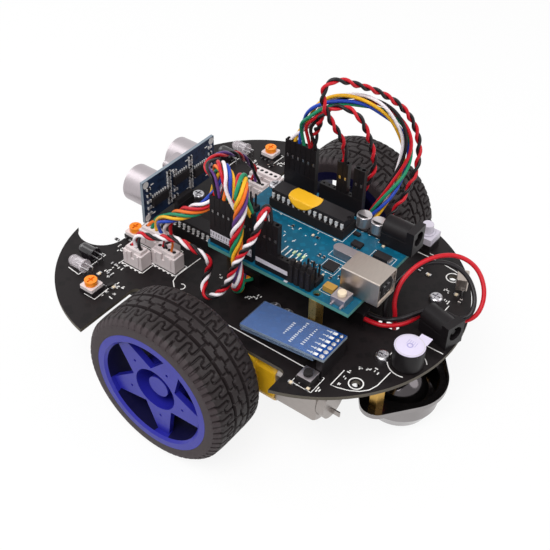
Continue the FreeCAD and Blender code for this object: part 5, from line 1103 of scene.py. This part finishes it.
def sonar_dressing():
    """Chip legs, pads and paint on the upright board's rear face, and the cans' mesh ridges."""
    rear, z0 = sonar_rear, sonar_base
    form = Form()
    for x, level in ((13.5, 8.4), (0, 11.4), (-13, 8.4)):
        for off in centred(7, 1.27):
            for side in (1, -1):
                form.block((x + off, rear + 0.25, z0 + level + side * 2.5), (0.5, 0.5, 1.1), 1)
    chance = random.Random(6)
    ladders = [(x, z0 + 3.4 + i * 3.1) for x in (19.6, -19.4, 3.4) for i in range(5)]
    ladders += [(x, z0 + 2.2 + i * 1.7) for x in (7.2, -6.5) for i in range(10)]
    for x, z in ladders:
        form.block((x, rear + 0.3, z), (1.9, 0.6, 1), 0 if chance.random() < 0.4 else 2)
        for side in (-1, 1):
            form.block((x + side * 0.9, rear + 0.3, z), (0.4, 0.64, 1.14), 1)
    for sx in (1, -1):
        for level in (1.8, 18.2):
            form.tube([(sx * 20.7, rear, z0 + level), (sx * 20.7, rear + 0.06, z0 + level)], 1.6, 1, 20)
    for x in (17, 4.6, -4.4, -17.2):
        for level in (2.4, 16.8):
            form.block((x, rear + 0.04, z0 + level), (1.6, 0.06, 0.5), 3)
    for x in centred(4, pitch):
        form.block((x, rear - 1.8, z0 + 1.4), (1.3, 0.7, 1.3), 1)
    form.piece("sonar_parts", "black_plastic", "chip_black leg_pale cap_metal white_ink", bevel=0.04)
    weave = Form()
    for sx in (1, -1):
        x, z, front = sx * 13, z0 + 10, can_front + 1.2
        for i in range(-7, 8):
            off = i * 0.85
            reach = math.sqrt(max(0.1, 6.1 ** 2 - off ** 2))
            weave.tube([(x + off, front, z - reach), (x + off, front, z + reach)], 0.14, 0, 6)
            weave.tube([(x - reach, front - 0.12, z + off), (x + reach, front - 0.12, z + off)], 0.14, 0, 6)
    weave.piece("sonar_mesh", "can_aluminium", "tin")


def socket_dressing():
    """Dark discs painted as the shaded wire holes, and the polarising ribs of the wire plugs."""
    form = Form()
    top = deck + 7 + 1.4
    for x, y, count in wire_sockets:
        length = (count - 1) * socket_pitch + 4.9
        for off in centred(count, socket_pitch):
            at = y + off
            # painted shade: a dark disc round each wire where it enters its plug
            form.tube([(x, at, top - 0.02), (x, at, top + 0.03)], 0.82, 1, 16)
        for side in (1, -1):
            for k in (-1, 1):
                form.block((x + side * 3.1, y + k * length * 0.32, deck + 4.2), (0.5, 0.9, 5))
    form.piece("wire_socket_ribs", "white_plastic", "socket_white chip_black", bevel=0.1)


def battery_springs():
    """A cone-shaped contact spring at one end of each cell."""
    form = Form()
    low, high = box_of("battery_cells")
    z = (low.z + high.z) / 2
    for side, end in ((1, low.y), (-1, high.y)):
        x = side * (high.x - 9.2)
        turns = []
        for t in np.linspace(0, 3.6, 90):
            reach, angle = 4.4 - t * 0.55, t * 2 * math.pi
            y = end - side * (3.6 - t * 0.95)
            turns.append((x + reach * math.cos(angle), y, z + reach * math.sin(angle)))
        form.tube(turns, 0.35, 0, 6)
    form.piece("contact_springs", "screw_steel", "tin")


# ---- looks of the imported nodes
# Tests of a face's place and direction, for the rules of paint.
def above(level):
    return lambda at, normal: at.z > level


def under(level):
    return lambda at, normal: at.z < level


def behind(y):
    return lambda at, normal: at.y > y


def both(one, other):
    return lambda at, normal: one(at, normal) and other(at, normal)


def near(reach, *places):
    """Whether a face lies within reach of one of the places on the controller board."""
    spots = [spot(*place) for place in places]
    return lambda at, normal: any(abs(at.x - x) < reach and abs(at.y - y) < reach for x, y in spots)


def upright(at, normal):
    return abs(normal.z) < 0.5


def caster_inside(at, normal):
    """Whether a face of the caster's housing looks towards its ball or up, where painted shade and a painted
    dark reflection go.
    """
    inward = ball_at - at
    return inward.dot(normal) > 0.2 * inward.length or normal.z > 0.6


def on_mesh(at, normal):
    """Whether a face is part of the round mesh in the front of a sonar can."""
    across = math.hypot(abs(at.x) - 13, at.z - (deck + 18.5))
    return at.y < can_front + 1.5 and normal.y < -0.5 and across < 6.3


def dress_nodes():
    """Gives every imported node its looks."""
    for name, names in {
        "brass": "controller_pillars underside_pillars",
        "screw_steel": "screws_and_nuts",
        "black_plastic": "digital_headers analog_headers digital_plugs analog_plugs deck_sockets "
                         "controller_jack charging_jack",
        "black_dull": "chip_socket user_button battery_holder",
        "shell_metal": "usb_socket",
        "can_metal": "reset_switch",
        "cream": "reset_button",
        "switch_grey": "power_plunger",
        "socket_white": "trimmer_bases wire_sockets_left wire_sockets_right",
        "orange": "trimmer_rotor_left trimmer_rotor_front trimmer_rotor_right",
        "sleeve": "radio_sleeve",
        # the socket's dark steel is a painted reflection of the board above
        "chrome_shade_and_reflection": "caster_socket",
        "ball_steel": "caster_ball",
        "mask_black": "sensor_bar",
        "shaft_white": "drive_shaft_left drive_shaft_right",
        "yellow": "gearbox_left gearbox_right",
        "motor_steel": "motor_left motor_right",
        "aluminium": "motor_brackets",
    }.items():
        for node in names.split():
            paint(node, name)
    paint("chassis_board", "mask_black", (upright, "board_edge"))
    paint("controller_board", "mask_teal", (upright, "teal_edge"))
    chip_x, crystal_x = spot(*chip_at)[0], spot(18, 27.2)[0]
    paint("microcontroller", "chip_black", (lambda at, n: abs(at.x - chip_x) > 3.57, "tin"))
    paint(
        "controller_parts", "chip_black",
        (both(near(3.4, (23.2, 6.9), (16.4, 6.9)), above(board_top + 1)), "cap_metal"),
        (both(near(5.8, (18, 27.2)), lambda at, n: abs(at.x - crystal_x) < 2.5), "can_metal"),
        (both(behind(spot(3.9, 0)[1]), under(board_top + 1.2)), "tin"),
        (near(2.5, (12.4, 46.6)), "fuse_gold"),
        (both(near(6, (21, 46.4), (64.2, 28)), above(board_top + 2.6)), "pin_dark"),
    )
    paint("user_switch", "can_metal", (under(deck + 2.6), "chip_black"))
    paint("power_switch", "black_plastic", (above(deck + 4.1), "switch_grey"))
    paint("obstacle_emitters", "lens_clear", (behind(-57.55), "tin"))
    paint("obstacle_receivers", "lens_dark", (behind(-59.55), "tin"))
    paint("remote_receiver", "shell_metal", (under(deck + 3), "tin"))
    paint("buzzer", "black_plastic", (above(deck + 9.22), "pale_label"))
    paint(
        "radio_module", "mask_radio",
        (lambda at, n: 48.4 < at.y < 49.7 and not deck + 8.4 <= at.z <= deck + 9.95, "tin"),
        (lambda at, n: abs(n.z) < 0.3, "blue_edge"),
    )
    paint(
        "sonar_board", "mask_blue",
        (under(sonar_base), "gold"), (both(behind(-52.5), above(deck + 8.6)), "chip_black"),
        (lambda at, n: at.y < -54.05, "can_metal"), (lambda at, n: abs(n.y) < 0.5, "blue_edge"),
    )
    paint("sonar_transducers", "can_metal", (on_mesh, "mesh_metal"))
    # bowl inside and flange top are painted darker, as shade and as a reflection of the dark board
    paint("caster_housing", "chrome", (caster_inside, "chrome_shade_and_reflection"))
    paint("battery_cells", "cell_wrap", (lambda at, n: abs(n.y) > 0.9, "tin"))
    # faces on each wheel's inner side take the painted shade
    for side in ("left", "right"):
        paint("rim_" + side, "rim_blue", (lambda at, n: abs(at.x) < 69, "rim_painted_shade"))


studio()
floor()
dress_nodes()
cables()
tyre("left")
tyre("right")
chassis_marks()
trimmer_parts()
lamp_insides()
solder_joints()
driver_chip()
buzzer_label()
motor_straps()
header_labels()
plug_contacts()
controller_marks()
controller_small_parts()
usb_mouth()
chip_legs()
chip_sticker()
capacitor_tops()
radio_marks()
sonar_dressing()
socket_dressing()
battery_springs()
